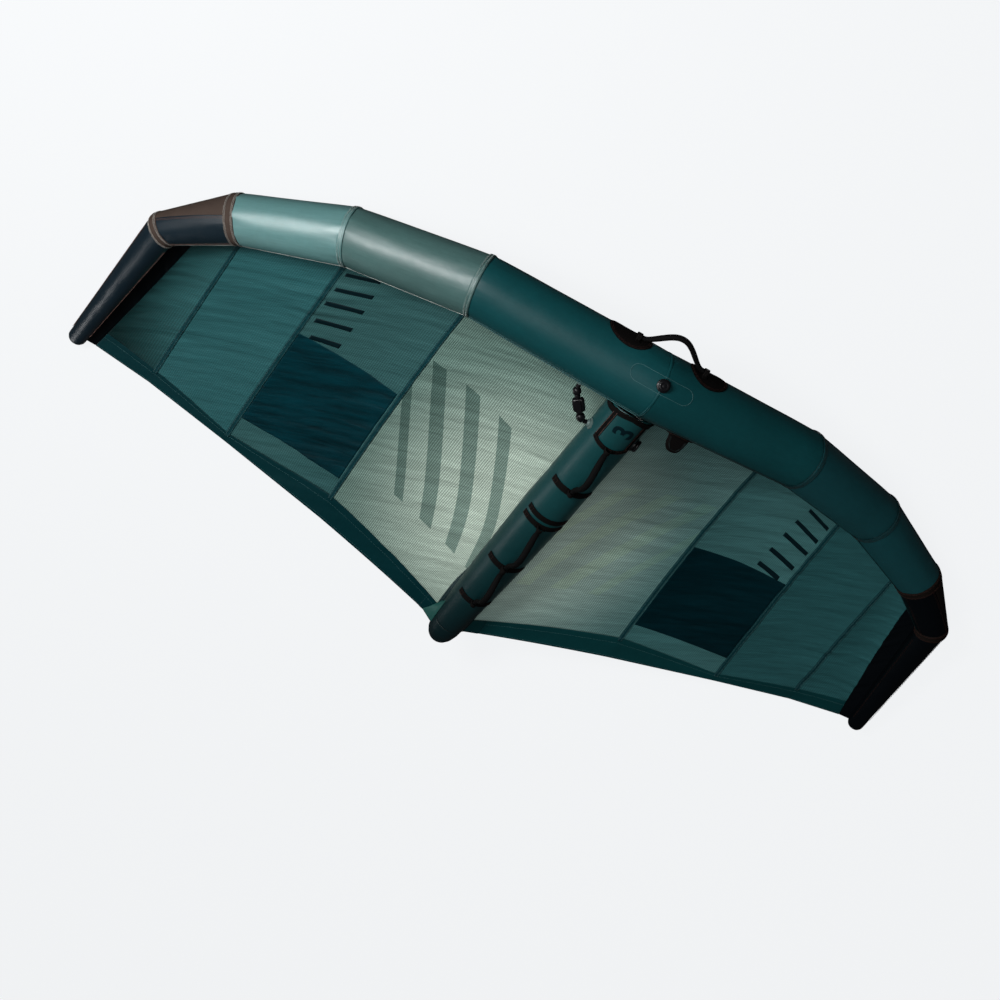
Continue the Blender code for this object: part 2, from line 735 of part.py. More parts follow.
for side_name, side in (("left", -1), ("right", 1)):
    for rank in range(4):
        width = (trail_points[rank + 1] - trail_points[rank]).length
        edge = SEAM_GAP / width
        inner_place = rank + (edge if rank else ROOT_SHARE)
        outer_place = rank + 1 - edge

        def panel_point(along, across, low=inner_place, high=outer_place):
            return panel_surface(along, low + (high - low) * across)

        panel = cloth_sheet(f"canopy_{canopy_names[rank]}_{side_name}", canopy_cloth[rank], side,
                            CLOTH_COLUMNS, CLOTH_ROWS, panel_point, CLOTH_THICKNESS)
        if rank > 1:
            boolean(panel, plugs[3 * side])

    def wedge_point(along, across):
        along = TIP_START_SHARE + (1 - TIP_START_SHARE) * along
        rib = canopy_point(along, 4.0)
        station = canopy_station_shares[4] + (5 - canopy_station_shares[4]) * along
        tube = tube_point(station, leading_angles[4] * (1 - TIP_ANGLE_FADE_SHARE * along), CLOTH_GAP)
        return rib.lerp(tube, ROOT_SHARE + (1 - ROOT_SHARE) * across)

    wedge = cloth_sheet(f"canopy_tip_{side_name}", NAVY, side, TIP_COLUMNS, TIP_ROWS, wedge_point,
                        CLOTH_THICKNESS)
    boolean(wedge, plugs[4 * side])

    cloth_sheet(f"trailing_edge_{side_name}", TEAL, side, HEM_COLUMN_COUNT, HEM_ROW_COUNT, hem_surface,
                CLOTH_THICKNESS)

    for rank in range(3):
        width = (trail_points[rank + 1] - trail_points[rank]).length
        half = TAPE_WIDTH / 2 / width

        def tape_point(along, across, middle=rank + 1, reach=half):
            offset = across * 2 - 1
            beside = panel_facet(along, middle + math.copysign(1 / CLOTH_COLUMNS, offset))
            point = panel_facet(along, middle).lerp(beside, abs(offset) * reach * CLOTH_COLUMNS)
            point.z += TAPE_LIFT
            return point

        cloth_sheet(f"seam_tape_{tape_names[rank]}_{side_name}", DEEP, side, 2, CLOTH_ROWS, tape_point,
                    TAPE_THICKNESS, 1.0)

# Webbing frame round a bare panel, and the collar that covers the strut's front seam
frame_end = FRAME_START + FRAME_LENGTH
front_frame = strut_saddle("strut_front_frame", FRAME_START, frame_end, FRAME_HALF_ANGLE, WEBBING)
collar = strut_saddle("strut_collar_shape", COLLAR_START, FRAME_START + FRAME_EDGE, COLLAR_HALF_ANGLE, None,
                      collection=cutters)
collar_reach = edge_tube("strut_collar_reach", COLLAR_WIDTH, 1, None, cutters)
boolean(collar, collar_reach, "INTERSECT")
window = strut_saddle("strut_frame_window", FRAME_START - CUT_OVERRUN, frame_end - FRAME_EDGE,
                      FRAME_HALF_ANGLE - math.degrees(FRAME_EDGE / STRUT_RADIUS), None,
                      thickness=WEBBING_THICKNESS + 2 * CUT_OVERRUN, lift=-CUT_OVERRUN, collection=cutters)
boolean(front_frame, window)
boolean(front_frame, collar, "UNION")
boolean(front_frame, le_cutter)

# Straps across the strut, and the three padded handles between them
strap_places = [share * strut_length for share in strap_place_shares]
straps = []
for number, place in enumerate(strap_places):
    half = (BRACKET_WIDTH if number == 1 else STRAP_WIDTH) / 2
    straps.append((strut_saddle(f"strut_strap_{number + 1}", place - half, place + half, STRAP_HALF_ANGLE,
                                WEBBING), place - half, place + half))


slot_start = strap_places[1] - BRACKET_SLOT / 2
slot = strut_saddle("strut_strap_slot", slot_start, slot_start + BRACKET_SLOT,
                    STRAP_HALF_ANGLE - math.degrees(STRAP_WIDTH / STRUT_RADIUS / 2), None,
                    thickness=WEBBING_THICKNESS + 2 * CUT_OVERRUN, lift=-CUT_OVERRUN, collection=cutters)
boolean(straps[1][0], slot)


def handle_line(distance):
    """Point on the hinge line of a strut handle, above the webbing on the strut's top."""
    sides = WEBBING_STEPS * 180.0 / STRAP_HALF_ANGLE
    radius = clear_of(strut_radius(distance), SEAM_GAP, sides) + WEBBING_THICKNESS
    return strut_point(distance, 0.0, radius + HANDLE_LIFT + HANDLE_RADIUS)


strut_up = (strut_place.to_3x3() @ Vector((0.0, -1.0, 0.0))).normalized()
handle_spans = (("front", front_frame, frame_end, straps[0][0], straps[0][1]),
                ("middle", straps[1][0], straps[1][2], straps[2][0], straps[2][1]),
                ("rear", straps[2][0], straps[2][2], straps[3][0], straps[3][1]))
for handle_name, front_anchor, start, rear_anchor, stop in handle_spans:
    first = handle_line(start)
    second = handle_line(stop)
    line = (second - first).normalized()
    route = arch_points(first, second, strut_up, HANDLE_HEIGHT, HANDLE_RADIUS)
    round_cord(f"strut_handle_{handle_name}", route, HANDLE_RADIUS, WEBBING, (first + second) / 2)
    join_keepers(front_anchor, [(first, -line)], HANDLE_RADIUS)
    join_keepers(rear_anchor, [(second, line)], HANDLE_RADIUS)


# Oval patches and the handle on the front of the leading edge
def segment_frame(side, distance):
    """Frame along a centre sleeve: local Z runs towards +X, local -Y is its top."""
    start = station_centre(0)
    stop = station_centre(side)
    along = (stop - start) * side
    origin = start + (stop - start).normalized() * distance
    return frame_along(origin, along, Vector((0.0, 0.0, 1.0)))


def segment_radius(distance):
    share = distance / (station_centre(1) - station_centre(0)).length
    return station_radius(0) + (station_radius(1) - station_radius(0)) * share


def patch_underside(distance, half_angle):
    return clear_of(segment_radius(distance), 2 * SEAM_GAP, WEBBING_STEPS * 180.0 / half_angle)


def tube_patch(name, side, distance, length, half_angle, middle):
    """Oval webbing patch on a centre sleeve."""
    place = segment_frame(side, distance)
    inner = patch_underside(distance, half_angle)
    start, stop = [patch_underside(distance + side * end, half_angle) for end in (-length / 2, length / 2)]
    bm = bmesh.new()
    saddle(bm, -length / 2, length / 2, start, stop, WEBBING_THICKNESS, half_angle, middle)
    made = finish_mesh(bm, name, WEBBING, place)
    turn = math.radians(middle)
    outward = Vector((math.sin(turn), -math.cos(turn), 0.0))
    oval = bmesh.new()
    cylinder(oval, 1.0, 0.0, 2 * TUBE_RADIUS, OVAL_SIDES)
    wide = inner * math.sin(math.radians(half_angle))
    bmesh.ops.scale(oval, vec=(wide, length / 2, 1.0), verts=oval.verts[:])
    across = Vector((0.0, 0.0, 1.0)).cross(outward)
    turn_out = Matrix((across, Vector((0.0, 0.0, 1.0)), outward)).transposed().to_4x4()
    bmesh.ops.transform(oval, matrix=turn_out, verts=oval.verts[:])
    shape = finish_mesh(oval, f"{name}_oval", None, place, cutters)
    boolean(made, shape, "INTERSECT")
    return made


def handle_on_tube(name, side_distances, height, radius, middle, half_angle):
    """Arched handle between two places on the centre sleeves; gives its ends and hinge line."""
    turn = math.radians(middle)
    ends = []
    for side, distance in side_distances:
        place = segment_frame(side, distance)
        reach = patch_underside(distance, half_angle) + WEBBING_THICKNESS + HANDLE_LIFT + radius
        ends.append(place @ Vector((reach * math.sin(turn), -reach * math.cos(turn), 0.0)))
    rise = Vector((0.0, -math.sin(turn), math.cos(turn)))
    line = (ends[1] - ends[0]).normalized()
    rise = (rise - line * rise.dot(line)).normalized()
    round_cord(name, arch_points(ends[0], ends[1], rise, height, radius), radius, WEBBING,
               (ends[0] + ends[1]) / 2)
    return ends, line


patches = {}
for side_name, side in (("left", -1), ("right", 1)):
    patches[side] = tube_patch(f"le_handle_patch_{side_name}", side, PATCH_MIDDLE, PATCH_LENGTH,
                               PATCH_HALF_ANGLE, PATCH_ANGLE)
ends, line = handle_on_tube("le_handle", ((-1, LE_HANDLE_SPREAD), (1, LE_HANDLE_SPREAD)), LE_HANDLE_HEIGHT,
                            LE_HANDLE_RADIUS, LE_HANDLE_ANGLE, PATCH_HALF_ANGLE)
join_keepers(patches[-1], [(ends[0], -line)], LE_HANDLE_RADIUS)
join_keepers(patches[1], [(ends[1], line)], LE_HANDLE_RADIUS)

# Leash loop and its patch on the rear of the left centre sleeve
leash_patch = tube_patch("leash_patch", -1, LEASH_PLACE, LEASH_PATCH_LENGTH, LEASH_PATCH_HALF_ANGLE,
                         LEASH_ANGLE)
leash_places = ((-1, LEASH_PLACE + LEASH_SPREAD), (-1, LEASH_PLACE - LEASH_SPREAD))
leash_ends, line = handle_on_tube("leash_loop", leash_places, LEASH_HEIGHT, LEASH_RADIUS, LEASH_ANGLE,
                                  LEASH_PATCH_HALF_ANGLE)
join_keepers(leash_patch, [(leash_ends[0], -line), (leash_ends[1], line)], LEASH_RADIUS)


def add_cutter(name, place, build):
    """Helper shape made by a drawing function, hidden in the cutters' collection."""
    bm = bmesh.new()
    build(bm)
    return finish_mesh(bm, name, None, place, cutters)


def block(bm, low, high):
    """Box between two opposite corners."""
    made = bmesh.ops.create_cube(bm, size=1.0)["verts"]
    bmesh.ops.scale(bm, vec=[high[k] - low[k] for k in range(3)], verts=made)
    bmesh.ops.translate(bm, vec=[(high[k] + low[k]) / 2 for k in range(3)], verts=made)


def pin(bm, radius, start, stop):
    """Cylinder along local X between two places."""
    cylinder(bm, radius, start, stop, PIN_SIDES, Matrix.Rotation(math.pi / 2, 4, "Y"))


def valve(name, place, size, seat_cutter):
    """Valve body through a sleeve and its bladder, closed by its flap, with a hinged plug cap."""
    flange = VALVE_FLANGE_RADIUS * size
    stem = VALVE_STEM_RADIUS * size
    bore = VALVE_BORE_RADIUS * size
    stand = VALVE_STAND * size
    depth = VALVE_DEPTH * size
    edge = CAP_RADIUS * size
    top = CAP_THICKNESS * size
    knuckle = KNUCKLE_RADIUS * size
    half = KNUCKLE_HALF_LENGTH * size
    hinge_out = edge + knuckle + KNUCKLE_CLEARANCE
    hinge_place = place @ Matrix.Translation((0.0, hinge_out, stand + RUN_CLEARANCE))
    body = turned(f"{name}_base", [(bore, stand), (stem * neck_flare_share, stand),
                                   (flange, stand * flange_edge_share), (flange, -depth / 2),
                                   (bore, -depth / 2)], PLASTIC, place, VALVE_SIDES)
    boolean(body, seat_cutter)
    floor = stand - (CAP_PLUG_DEPTH + PLUG_CLEARANCE) * size
    profile = [(0.0, floor), (bore, floor), (bore, stand), (stem, stand), (stem, -depth), (0.0, -depth)]
    neck = turned(f"{name}_neck_shape", profile, None, place, VALVE_SIDES, cutters, closed=False)
    boolean(body, neck, "UNION")
    foot_half = knuckle * hinge_foot_share
    for number, hand in enumerate((-1, 1)):
        inner_x, outer_x = sorted((hand * (half + KNUCKLE_CLEARANCE), hand * (2 * half + KNUCKLE_CLEARANCE)))
        lug = add_cutter(f"{name}_lug_{number}", hinge_place, lambda bm: pin(bm, knuckle, inner_x, outer_x))
        boolean(body, lug, "UNION")
        foot = add_cutter(f"{name}_foot_{number}", hinge_place,
                          lambda bm: block(bm, (inner_x, -foot_half, -stand * foot_depth_share),
                                           (outer_x, foot_half, 0.0)))
        boolean(body, foot, "UNION")
    plug = bore - PLUG_CLEARANCE * size
    profile = [(0.0, top), (edge * cap_top_share, top), (edge, top * cap_edge_share), (edge, 0.0),
               (plug, 0.0), (plug, -CAP_PLUG_DEPTH * size), (0.0, -CAP_PLUG_DEPTH * size)]
    cap = turned(f"{name}_cap", profile, PLASTIC, hinge_place, VALVE_SIDES, closed=False)
    for vert in cap.data.vertices:
        vert.co.y -= hinge_out
    middle = bpy.data.objects.new(f"{name}_cap_middle", None)
    cutters.objects.link(middle)
    middle.parent = wing_frame
    middle.matrix_local = place @ Matrix.Translation((0.0, 0.0, stand + RUN_CLEARANCE))
    cap.modifiers["turn"].object = middle
    tab_reach = 2 * knuckle + KNUCKLE_CLEARANCE
    tab = add_cutter(f"{name}_tab", hinge_place,
                     lambda bm: block(bm, (-half, -tab_reach, 0.0), (half, 0.0, foot_half)))
    boolean(cap, tab, "UNION")
    barrel = add_cutter(f"{name}_barrel", hinge_place, lambda bm: pin(bm, knuckle, -half, half))
    boolean(cap, barrel, "UNION")


def valve_hole(name, place, size):
    bm = bmesh.new()
    cylinder(bm, VALVE_STEM_RADIUS * size + SEAM_GAP * 2, -2 * VALVE_DEPTH, 2 * VALVE_DEPTH,
             VALVE_SIDES)
    return finish_mesh(bm, name, None, place, cutters)


def outward_frame(origin, outward, toward):
    """Frame with local Z outward and local Y as near to toward as it goes."""
    z_axis = outward.normalized()
    y_axis = (toward - z_axis * toward.dot(z_axis)).normalized()
    x_axis = y_axis.cross(z_axis)
    made = Matrix((x_axis, y_axis, z_axis)).transposed().to_4x4()
    made.translation = origin
    return made


turn = math.radians(90.0 + VALVE_ANGLE)
matrix = ring_matrix(0, station_radius(0))
seat = matrix @ Vector((math.cos(turn), math.sin(turn), 0.0))
outward = (seat - station_centre(0)).normalized()
valve_place = outward_frame(seat, outward, Vector((0.0, -1.0, 0.0)))
valve("le_valve", valve_place, VALVE_SCALE_SHARE, le_cutter)
hole = valve_hole("le_valve_hole", valve_place, VALVE_SCALE_SHARE)
for target in valve_seat + [le_bladder]:
    boolean(target, hole)

strut_cutter = turned("strut_cutter", strut_profile(STRUT_RADIUS, strut_length, -SEAM_GAP)[::-1]
                      + [(0.0, STRUT_RADIUS)], None, strut_place, collection=cutters, closed=False)
valve_distance = frame_end - STRUT_VALVE_SETBACK
seat = strut_point(valve_distance, STRUT_VALVE_ANGLE, strut_radius(valve_distance))
outward = seat - strut_point(valve_distance, 0.0, 0.0)
strut_valve_place = outward_frame(seat, outward, Vector((0.0, 0.0, 1.0)))
valve("strut_valve", strut_valve_place, 1.0, strut_cutter)
strut_hole = valve_hole("strut_valve_hole", strut_valve_place, 1.0)
boolean(strut_sleeve, strut_hole)
boolean(strut_bladder, strut_hole)


# Transfer hose: two ports, the hose and its pinch clip
def port(name, origin, outward, seat_cutter):
    place = outward_frame(origin, outward, Vector((0.0, 0.0, 1.0)))
    profile = [(PORT_RADIUS * out, PORT_HEIGHT * up) for out, up in port_profile_shares]
    body = turned(name, profile, HOSE_GREY, place, PORT_SIDES, closed=False)
    boolean(body, seat_cutter)
    return place


place = segment_frame(1, HOSE_LE_PLACE)
turn = math.radians(HOSE_LE_ANGLE)
radial = Vector((math.sin(turn), -math.cos(turn), 0.0))
seat = place @ (radial * segment_radius(HOSE_LE_PLACE))
le_port = port("hose_port_le", seat, place.to_3x3() @ radial, le_cutter)
hose_distance = frame_end - HOSE_STRUT_SETBACK
seat = strut_point(hose_distance, HOSE_STRUT_ANGLE, strut_radius(hose_distance))
outward = seat - strut_point(hose_distance, 0.0, 0.0)
strut_port = port("hose_port_strut", seat, outward, strut_cutter)

hose_start = le_port @ Vector((0.0, 0.0, PORT_HEIGHT + SEAM_GAP))
hose_stop = strut_port @ Vector((0.0, 0.0, PORT_HEIGHT + SEAM_GAP))
start_out = (le_port.to_3x3() @ Vector((0.0, 0.0, 1.0))).normalized()
stop_out = (strut_port.to_3x3() @ Vector((0.0, 0.0, 1.0))).normalized()
gap = (hose_stop - hose_start).length
bend_start = hose_start + start_out * gap * HOSE_RISE_SHARE
bend_stop = hose_stop + stop_out * gap * HOSE_RISE_SHARE
run_start = bend_start.lerp(bend_stop, HOSE_BEND_SHARE)
run_stop = bend_stop.lerp(bend_start, HOSE_BEND_SHARE)


def quadratic(start, middle, stop, share):
    return start.lerp(middle, share).lerp(middle.lerp(stop, share), share)


leave = hose_start + start_out * HOSE_RADIUS / 2
arrive = hose_stop + stop_out * HOSE_RADIUS / 2
bend_shares = [step / HOSE_BEND_STEPS for step in range(HOSE_BEND_STEPS + 1)]
first_bend = [quadratic(leave, bend_start, run_start, share) for share in bend_shares]
middle_run = [run_start.lerp(run_stop, step / HOSE_RUN_STEPS) for step in range(1, HOSE_RUN_STEPS)]
last_bend = [quadratic(run_stop, bend_stop, arrive, share) for share in bend_shares]
hose_points = [hose_start] + first_bend + middle_run + last_bend + [hose_stop]
round_cord("transfer_hose", hose_points, HOSE_RADIUS, HOSE_GREY, hose_start, 2)

clip_place = frame_along((run_start + run_stop) / 2, run_stop - run_start, Vector((0.0, 0.0, 1.0)))
bm = bmesh.new()
bmesh.ops.create_cube(bm, size=1.0)
bmesh.ops.scale(bm, vec=(CLIP_WIDTH, CLIP_HEIGHT, CLIP_LENGTH), verts=bm.verts[:])
bmesh.ops.bevel(bm, geom=bm.edges[:], offset=CLIP_EDGE_RADIUS, segments=2, profile=0.5, affect="EDGES",
                material=-1)
clip_body = finish_mesh(bm, "clip_body", PLASTIC, clip_place)
bm = bmesh.new()
cylinder(bm, HOSE_RADIUS + CLIP_CLEARANCE, -CLIP_LENGTH, CLIP_LENGTH, PORT_SIDES)
clip_bore = finish_mesh(bm, "clip_bore", None, clip_place, cutters)
boolean(clip_body, clip_bore)

lever_place = clip_place @ Matrix.Translation((0.0, -CLIP_HEIGHT / 2 - RUN_CLEARANCE, CLIP_LENGTH / 2))
bm = bmesh.new()
bmesh.ops.create_cube(bm, size=1.0)
bmesh.ops.scale(bm, vec=(LEVER_WIDTH, LEVER_THICKNESS, CLIP_LENGTH), verts=bm.verts[:])
bmesh.ops.translate(bm, vec=(0.0, -LEVER_THICKNESS / 2, -CLIP_LENGTH / 2), verts=bm.verts[:])
finish_mesh(bm, "clip_lever", PLASTIC, lever_place)

# Corner patches on the trailing edge, beside the strut's tail
for side_name, side in (("left", -1), ("right", 1)):
    def patch_point(along, across):
        point = hem_surface(along, across / HEM_COLUMN_COUNT)
        point.z += SEAM_GAP
        return point

    cloth_sheet(f"tail_patch_{side_name}", GREEN, side, 1, HEM_ROW_COUNT, patch_point, PATCH_THICKNESS, 1.0)


def settle():
    """Stand the wing on the floor, with the origin under the middle of its box."""
    bpy.context.view_layer.update()
    graph = bpy.context.evaluated_depsgraph_get()
    corners = []
    for made in parts.objects:
        if made.type == "EMPTY":
            continue
        solid = made.evaluated_get(graph)
        mesh = solid.to_mesh()
        corners += [solid.matrix_world @ vert.co for vert in mesh.vertices]
        solid.to_mesh_clear()
    middle = [(min(p[k] for p in corners) + max(p[k] for p in corners)) / 2 for k in range(2)]
    low = min(p.z for p in corners)
    wing_frame.location = (-middle[0], -middle[1], -low)
    bpy.context.view_layer.update()


settle()
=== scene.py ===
"""Looks of a wingfoil wing that lies on its back: sewn and inflated cloth, webbing, valves and hose.

Metres, +Z up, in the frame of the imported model. Pieces are drawn in the wing's own
layout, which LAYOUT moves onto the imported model.
"""
import math
from functools import lru_cache

import bmesh
import bpy
from mathutils import Matrix, Vector, noise


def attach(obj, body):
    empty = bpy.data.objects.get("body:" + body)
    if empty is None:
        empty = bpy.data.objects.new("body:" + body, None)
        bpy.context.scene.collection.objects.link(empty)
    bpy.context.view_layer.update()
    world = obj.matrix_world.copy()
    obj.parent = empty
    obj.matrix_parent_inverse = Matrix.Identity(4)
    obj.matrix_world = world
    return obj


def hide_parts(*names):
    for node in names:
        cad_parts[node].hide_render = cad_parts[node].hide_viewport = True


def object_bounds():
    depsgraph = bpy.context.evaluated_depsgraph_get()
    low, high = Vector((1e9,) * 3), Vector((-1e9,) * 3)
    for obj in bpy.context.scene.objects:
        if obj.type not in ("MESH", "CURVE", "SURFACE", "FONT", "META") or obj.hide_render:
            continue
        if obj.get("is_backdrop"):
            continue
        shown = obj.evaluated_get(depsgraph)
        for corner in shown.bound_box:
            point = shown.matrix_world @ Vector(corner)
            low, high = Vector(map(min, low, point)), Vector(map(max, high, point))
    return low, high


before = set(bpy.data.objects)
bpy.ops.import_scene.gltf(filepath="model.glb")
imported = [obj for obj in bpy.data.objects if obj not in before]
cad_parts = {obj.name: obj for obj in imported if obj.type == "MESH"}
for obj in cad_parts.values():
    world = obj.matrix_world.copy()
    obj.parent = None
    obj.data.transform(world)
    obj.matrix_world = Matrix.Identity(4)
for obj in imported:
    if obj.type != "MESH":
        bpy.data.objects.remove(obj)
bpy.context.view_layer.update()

LAYOUT = Matrix.Translation((0.0, -0.603981, 0.000005))

# The wing's own sizes, the same as in the model
HALF_SPAN = 1.408
SWEEP = 0.991
ARCH_HEIGHT = 0.2302
TUBE_RADIUS = 0.0915
SEAM_GAP = 0.0003
CHAFE_THICKNESS = 0.001
CHAFE_WIDTH = 0.030
span_shares = (0.0, 0.355, 0.599, 0.803, 0.923, 1.0)
sweep_shares = (0.0086, 0.0595, 0.1776, 0.331, 0.4753, 1.0)
arch_shares = (1.0, 0.581, 0.168, 0.0, 0.102, 0.0)
tube_radius_shares = (1.0, 0.922, 0.861, 0.740, 0.486, 0.297)
STRUT_REACH = 1.3415
STRUT_DROP = 0.167
STRUT_RADIUS = 0.0705
TAIL_CAP_LENGTH = 0.1168
strut_profile_shares = ((0.0, 0.935), (0.16, 0.955), (0.45, 1.0), (0.70, 0.92), (0.86, 0.80), (0.945, 0.735),
                        (0.968, 0.66), (0.984, 0.53), (0.995, 0.34), (1.0, 0.0))
CLOTH_GAP = 0.0005
CANOPY_BILLOW = 0.010
UNDER_ANGLE = 178.0
SIDE_ANGLE = 96.0
SIDE_START_SHARE = 0.62
SIDE_CLEARANCE = 0.002
TRAIL_Y = STRUT_REACH - 0.0625
TRAIL_Z = 0.160
leading_angles = (-55.0, -60.0, -55.0, -38.0, -42.0)
canopy_station_shares = (0.0, 1.0, 2.0, 3.0, 3.6)
trail_x_shares = (0.0, 0.3757, 0.6342, 0.831, 0.961)
trail_y_shares = (1.0, 0.8976, 0.8475, 0.8124, 0.789)
trail_z_shares = (1.0, 0.655, 0.325, 0.088, 0.045)
first_control_y_shares = (0.20, 0.194, 0.292, 0.410, 0.46)
first_control_z_shares = (1.45, 0.310, 0.220, 0.140, 0.100)
last_control_y_shares = (0.66, 0.644, 0.644, 0.668, 0.683)
last_control_z_shares = (0.95, 0.290, 0.145, 0.045, 0.045)
ROOT_SHARE = 0.004
ROOT_JOIN_SHARE = 0.075
BAND_WIDTH = 0.065
band_width_shares = (1.0, 1.40, 0.50, 0.92, 1.25)
TAPE_WIDTH = 0.018
WEBBING_THICKNESS = 0.002
HANDLE_RADIUS = 0.0075
HANDLE_HEIGHT = 0.046
HANDLE_GAP = 0.0008
EDGE_HANDLE_HEIGHT = 0.050
FLOOR_GAP = 0.0019
TIP_SEAM_DEPTH = 0.0030

# Cloth walls
TUBE_WALL = 0.001
PATCH_WALL = 0.0008
PANEL_WALL = 0.0006
# Radii of the threads
THIN_THREAD = 0.0003
FINE_THREAD = 0.0004
SEWING_THREAD = 0.0005
BOLD_THREAD = 0.0006
# Heights of the cloth's swells, puckers and folds
TUBE_SWELL = 0.0012
TUBE_PUCKER = 0.0012
TUBE_CREASE = 0.0020
SEAM_SINK = 0.0007
TIP_PUCKER = 0.0009
TIP_CREASE = 0.0010
BAND_RIPPLE = 0.0004
PATCH_RIPPLE = 0.0003
STRUT_SEAM_CREASE = 0.0011
STRUT_CREASE = 0.0009
FINE_FOLD = 0.0050
BROAD_FOLD = 0.0075
RIB_PUCKER = 0.0010

SIDES = (("left", -1), ("right", 1))
section_names = ("centre", "inner", "outer", "shoulder")


# Node groups and materials
class Value:
    """A node's number; arithmetic on it adds the math nodes that work it out."""

    def __init__(self, maker, socket):
        self.maker = maker
        self.socket = socket

    def __add__(self, other):
        return self.maker.math("ADD", self, other)

    def __sub__(self, other):
        return self.maker.math("SUBTRACT", self, other)

    def __rsub__(self, other):
        return self.maker.math("SUBTRACT", other, self)

    def __mul__(self, other):
        return self.maker.math("MULTIPLY", self, other)

    def __truediv__(self, other):
        return self.maker.math("DIVIDE", self, other)


class Maker:
    """Short calls that add nodes to a tree and link them."""

    def __init__(self, tree):
        self.tree = tree

    def feed(self, socket, value):
        """Link a value to a socket, or set the socket to a plain number or colour."""
        if isinstance(value, Value):
            value = value.socket
        if isinstance(value, bpy.types.NodeSocket):
            self.tree.links.new(value, socket)
        elif value is not None:
            socket.default_value = (*value, 1.0) if socket.type == "RGBA" else value

    def node(self, kind, inputs, **settings):
        made = self.tree.nodes.new("ShaderNode" + kind)
        for key, value in settings.items():
            setattr(made, key, value)
        for key, value in inputs.items():
            self.feed(made.inputs[key], value)
        return made

    def math(self, operation, *values):
        return Value(self, self.node("Math", dict(enumerate(values)), operation=operation).outputs[0])

    def vector_math(self, operation, inputs, output=0):
        return self.node("VectorMath", inputs, operation=operation).outputs[output]

    def scale(self, colour, tone):
        return self.vector_math("SCALE", {0: colour, 3: tone})

    def mix(self, factor, a, b, blend="MIX"):
        return self.node("Mix", {0: factor, 6: a, 7: b}, data_type="RGBA", blend_type=blend).outputs[2]

    def noise(self, vector, scale, detail=3.0, rough=0.5):
        made = self.node("TexNoise", {"Vector": vector, "Scale": scale, "Detail": detail, "Roughness": rough})
        return Value(self, made.outputs["Fac"])

    def ramp(self, value, low, high, kind="LINEAR"):
        made = self.node("MapRange", {0: value, 1: low, 2: high}, clamp=True, interpolation_type=kind)
        return Value(self, made.outputs[0])

    def split(self, vector):
        return [Value(self, part) for part in self.node("SeparateXYZ", {0: vector}).outputs]

    def group(self, tree, **inputs):
        named = {key.replace("_", " "): value for key, value in inputs.items()}
        return Value(self, self.node("Group", named, node_tree=tree).outputs[0])


def start_group(name, inputs, output):
    """Node group with a Vector and numbers in, and one number out."""
    tree = bpy.data.node_groups.new(name, "ShaderNodeTree")
    add = tree.interface.new_socket
    add(name="Vector", in_out="INPUT", socket_type="NodeSocketVector")
    for label, value in inputs.items():
        add(name=label, in_out="INPUT", socket_type="NodeSocketFloat").default_value = value
    add(name=output, in_out="OUTPUT", socket_type="NodeSocketFloat")
    m = Maker(tree)
    given = tree.nodes.new("NodeGroupInput").outputs
    values = [Value(m, given[label]) for label in ("Vector", *inputs)]
    return m, tree.nodes.new("NodeGroupOutput"), *values


def build_weave():
    """Plain weave on UV metres: the height of threads that run over and under."""
    m, out, vector, threads = start_group("plain_weave", {"Threads per metre": 1500.0}, "Height")
    across, along = [m.math("SINE", part * threads * math.pi) for part in m.split(vector)[:2]]
    m.feed(out.inputs[0], across * along)
    return m.tree


def build_ripstop():
    """Ripstop: thicker threads in a square grid, bolder one way than the other."""
    m, out, vector, pitch, line_share = start_group("ripstop_grid", {"Pitch": 0.006, "Line share": 0.12},
                                                    "Line")
    lines = []
    for part in m.split(vector)[:2]:
        near = m.math("ABSOLUTE", m.math("FRACT", part / pitch) - 0.5)
        lines.append(m.math("LESS_THAN", near, line_share * 0.5))
    m.feed(out.inputs[0], m.math("MAXIMUM", lines[0], lines[1] * 0.5))
    return m.tree


def build_tone():
    """Slow change of tone and faint handling marks, read from Object coordinates."""
    m, out, vector, size, strength = start_group("cloth_tone", {"Size": 6.0, "Strength": 0.15}, "Tone")
    slow = m.noise(vector, size, 4.0, 0.6)
    fine = m.noise(vector, size * 14.0, 2.0, 0.6)
    m.feed(out.inputs[0], (slow * 0.7 + fine * 0.3 - 0.5) * (strength * 2.0) + 1.0)
    return m.tree


WEAVE = build_weave()
RIPSTOP = build_ripstop()
TONE = build_tone()


def start_material(name, roughness, specular):
    """Material with plain gloss, its node maker, and its UV and Object coordinates."""
    made = bpy.data.materials.new(name)
    made.use_nodes = True
    m = Maker(made.node_tree)
    shader = m.tree.nodes["Principled BSDF"]
    m.feed(shader.inputs["Roughness"], roughness)
    m.feed(shader.inputs["Specular IOR Level"], specular)
    coordinates = m.node("TexCoord", {}).outputs
    return made, m, coordinates["UV"], coordinates["Object"]


def finish_material(made, m, colour, height, strength, distance, rough=None):
    """Link the colour, the height of the relief, and the roughness where it varies."""
    shader = m.tree.nodes["Principled BSDF"]
    m.feed(shader.inputs["Base Color"], colour)
    m.feed(shader.inputs["Roughness"], rough)
    bump = m.node("Bump", {"Strength": strength, "Distance": distance, "Height": height})
    m.feed(shader.inputs["Normal"], bump.outputs[0])
    return made


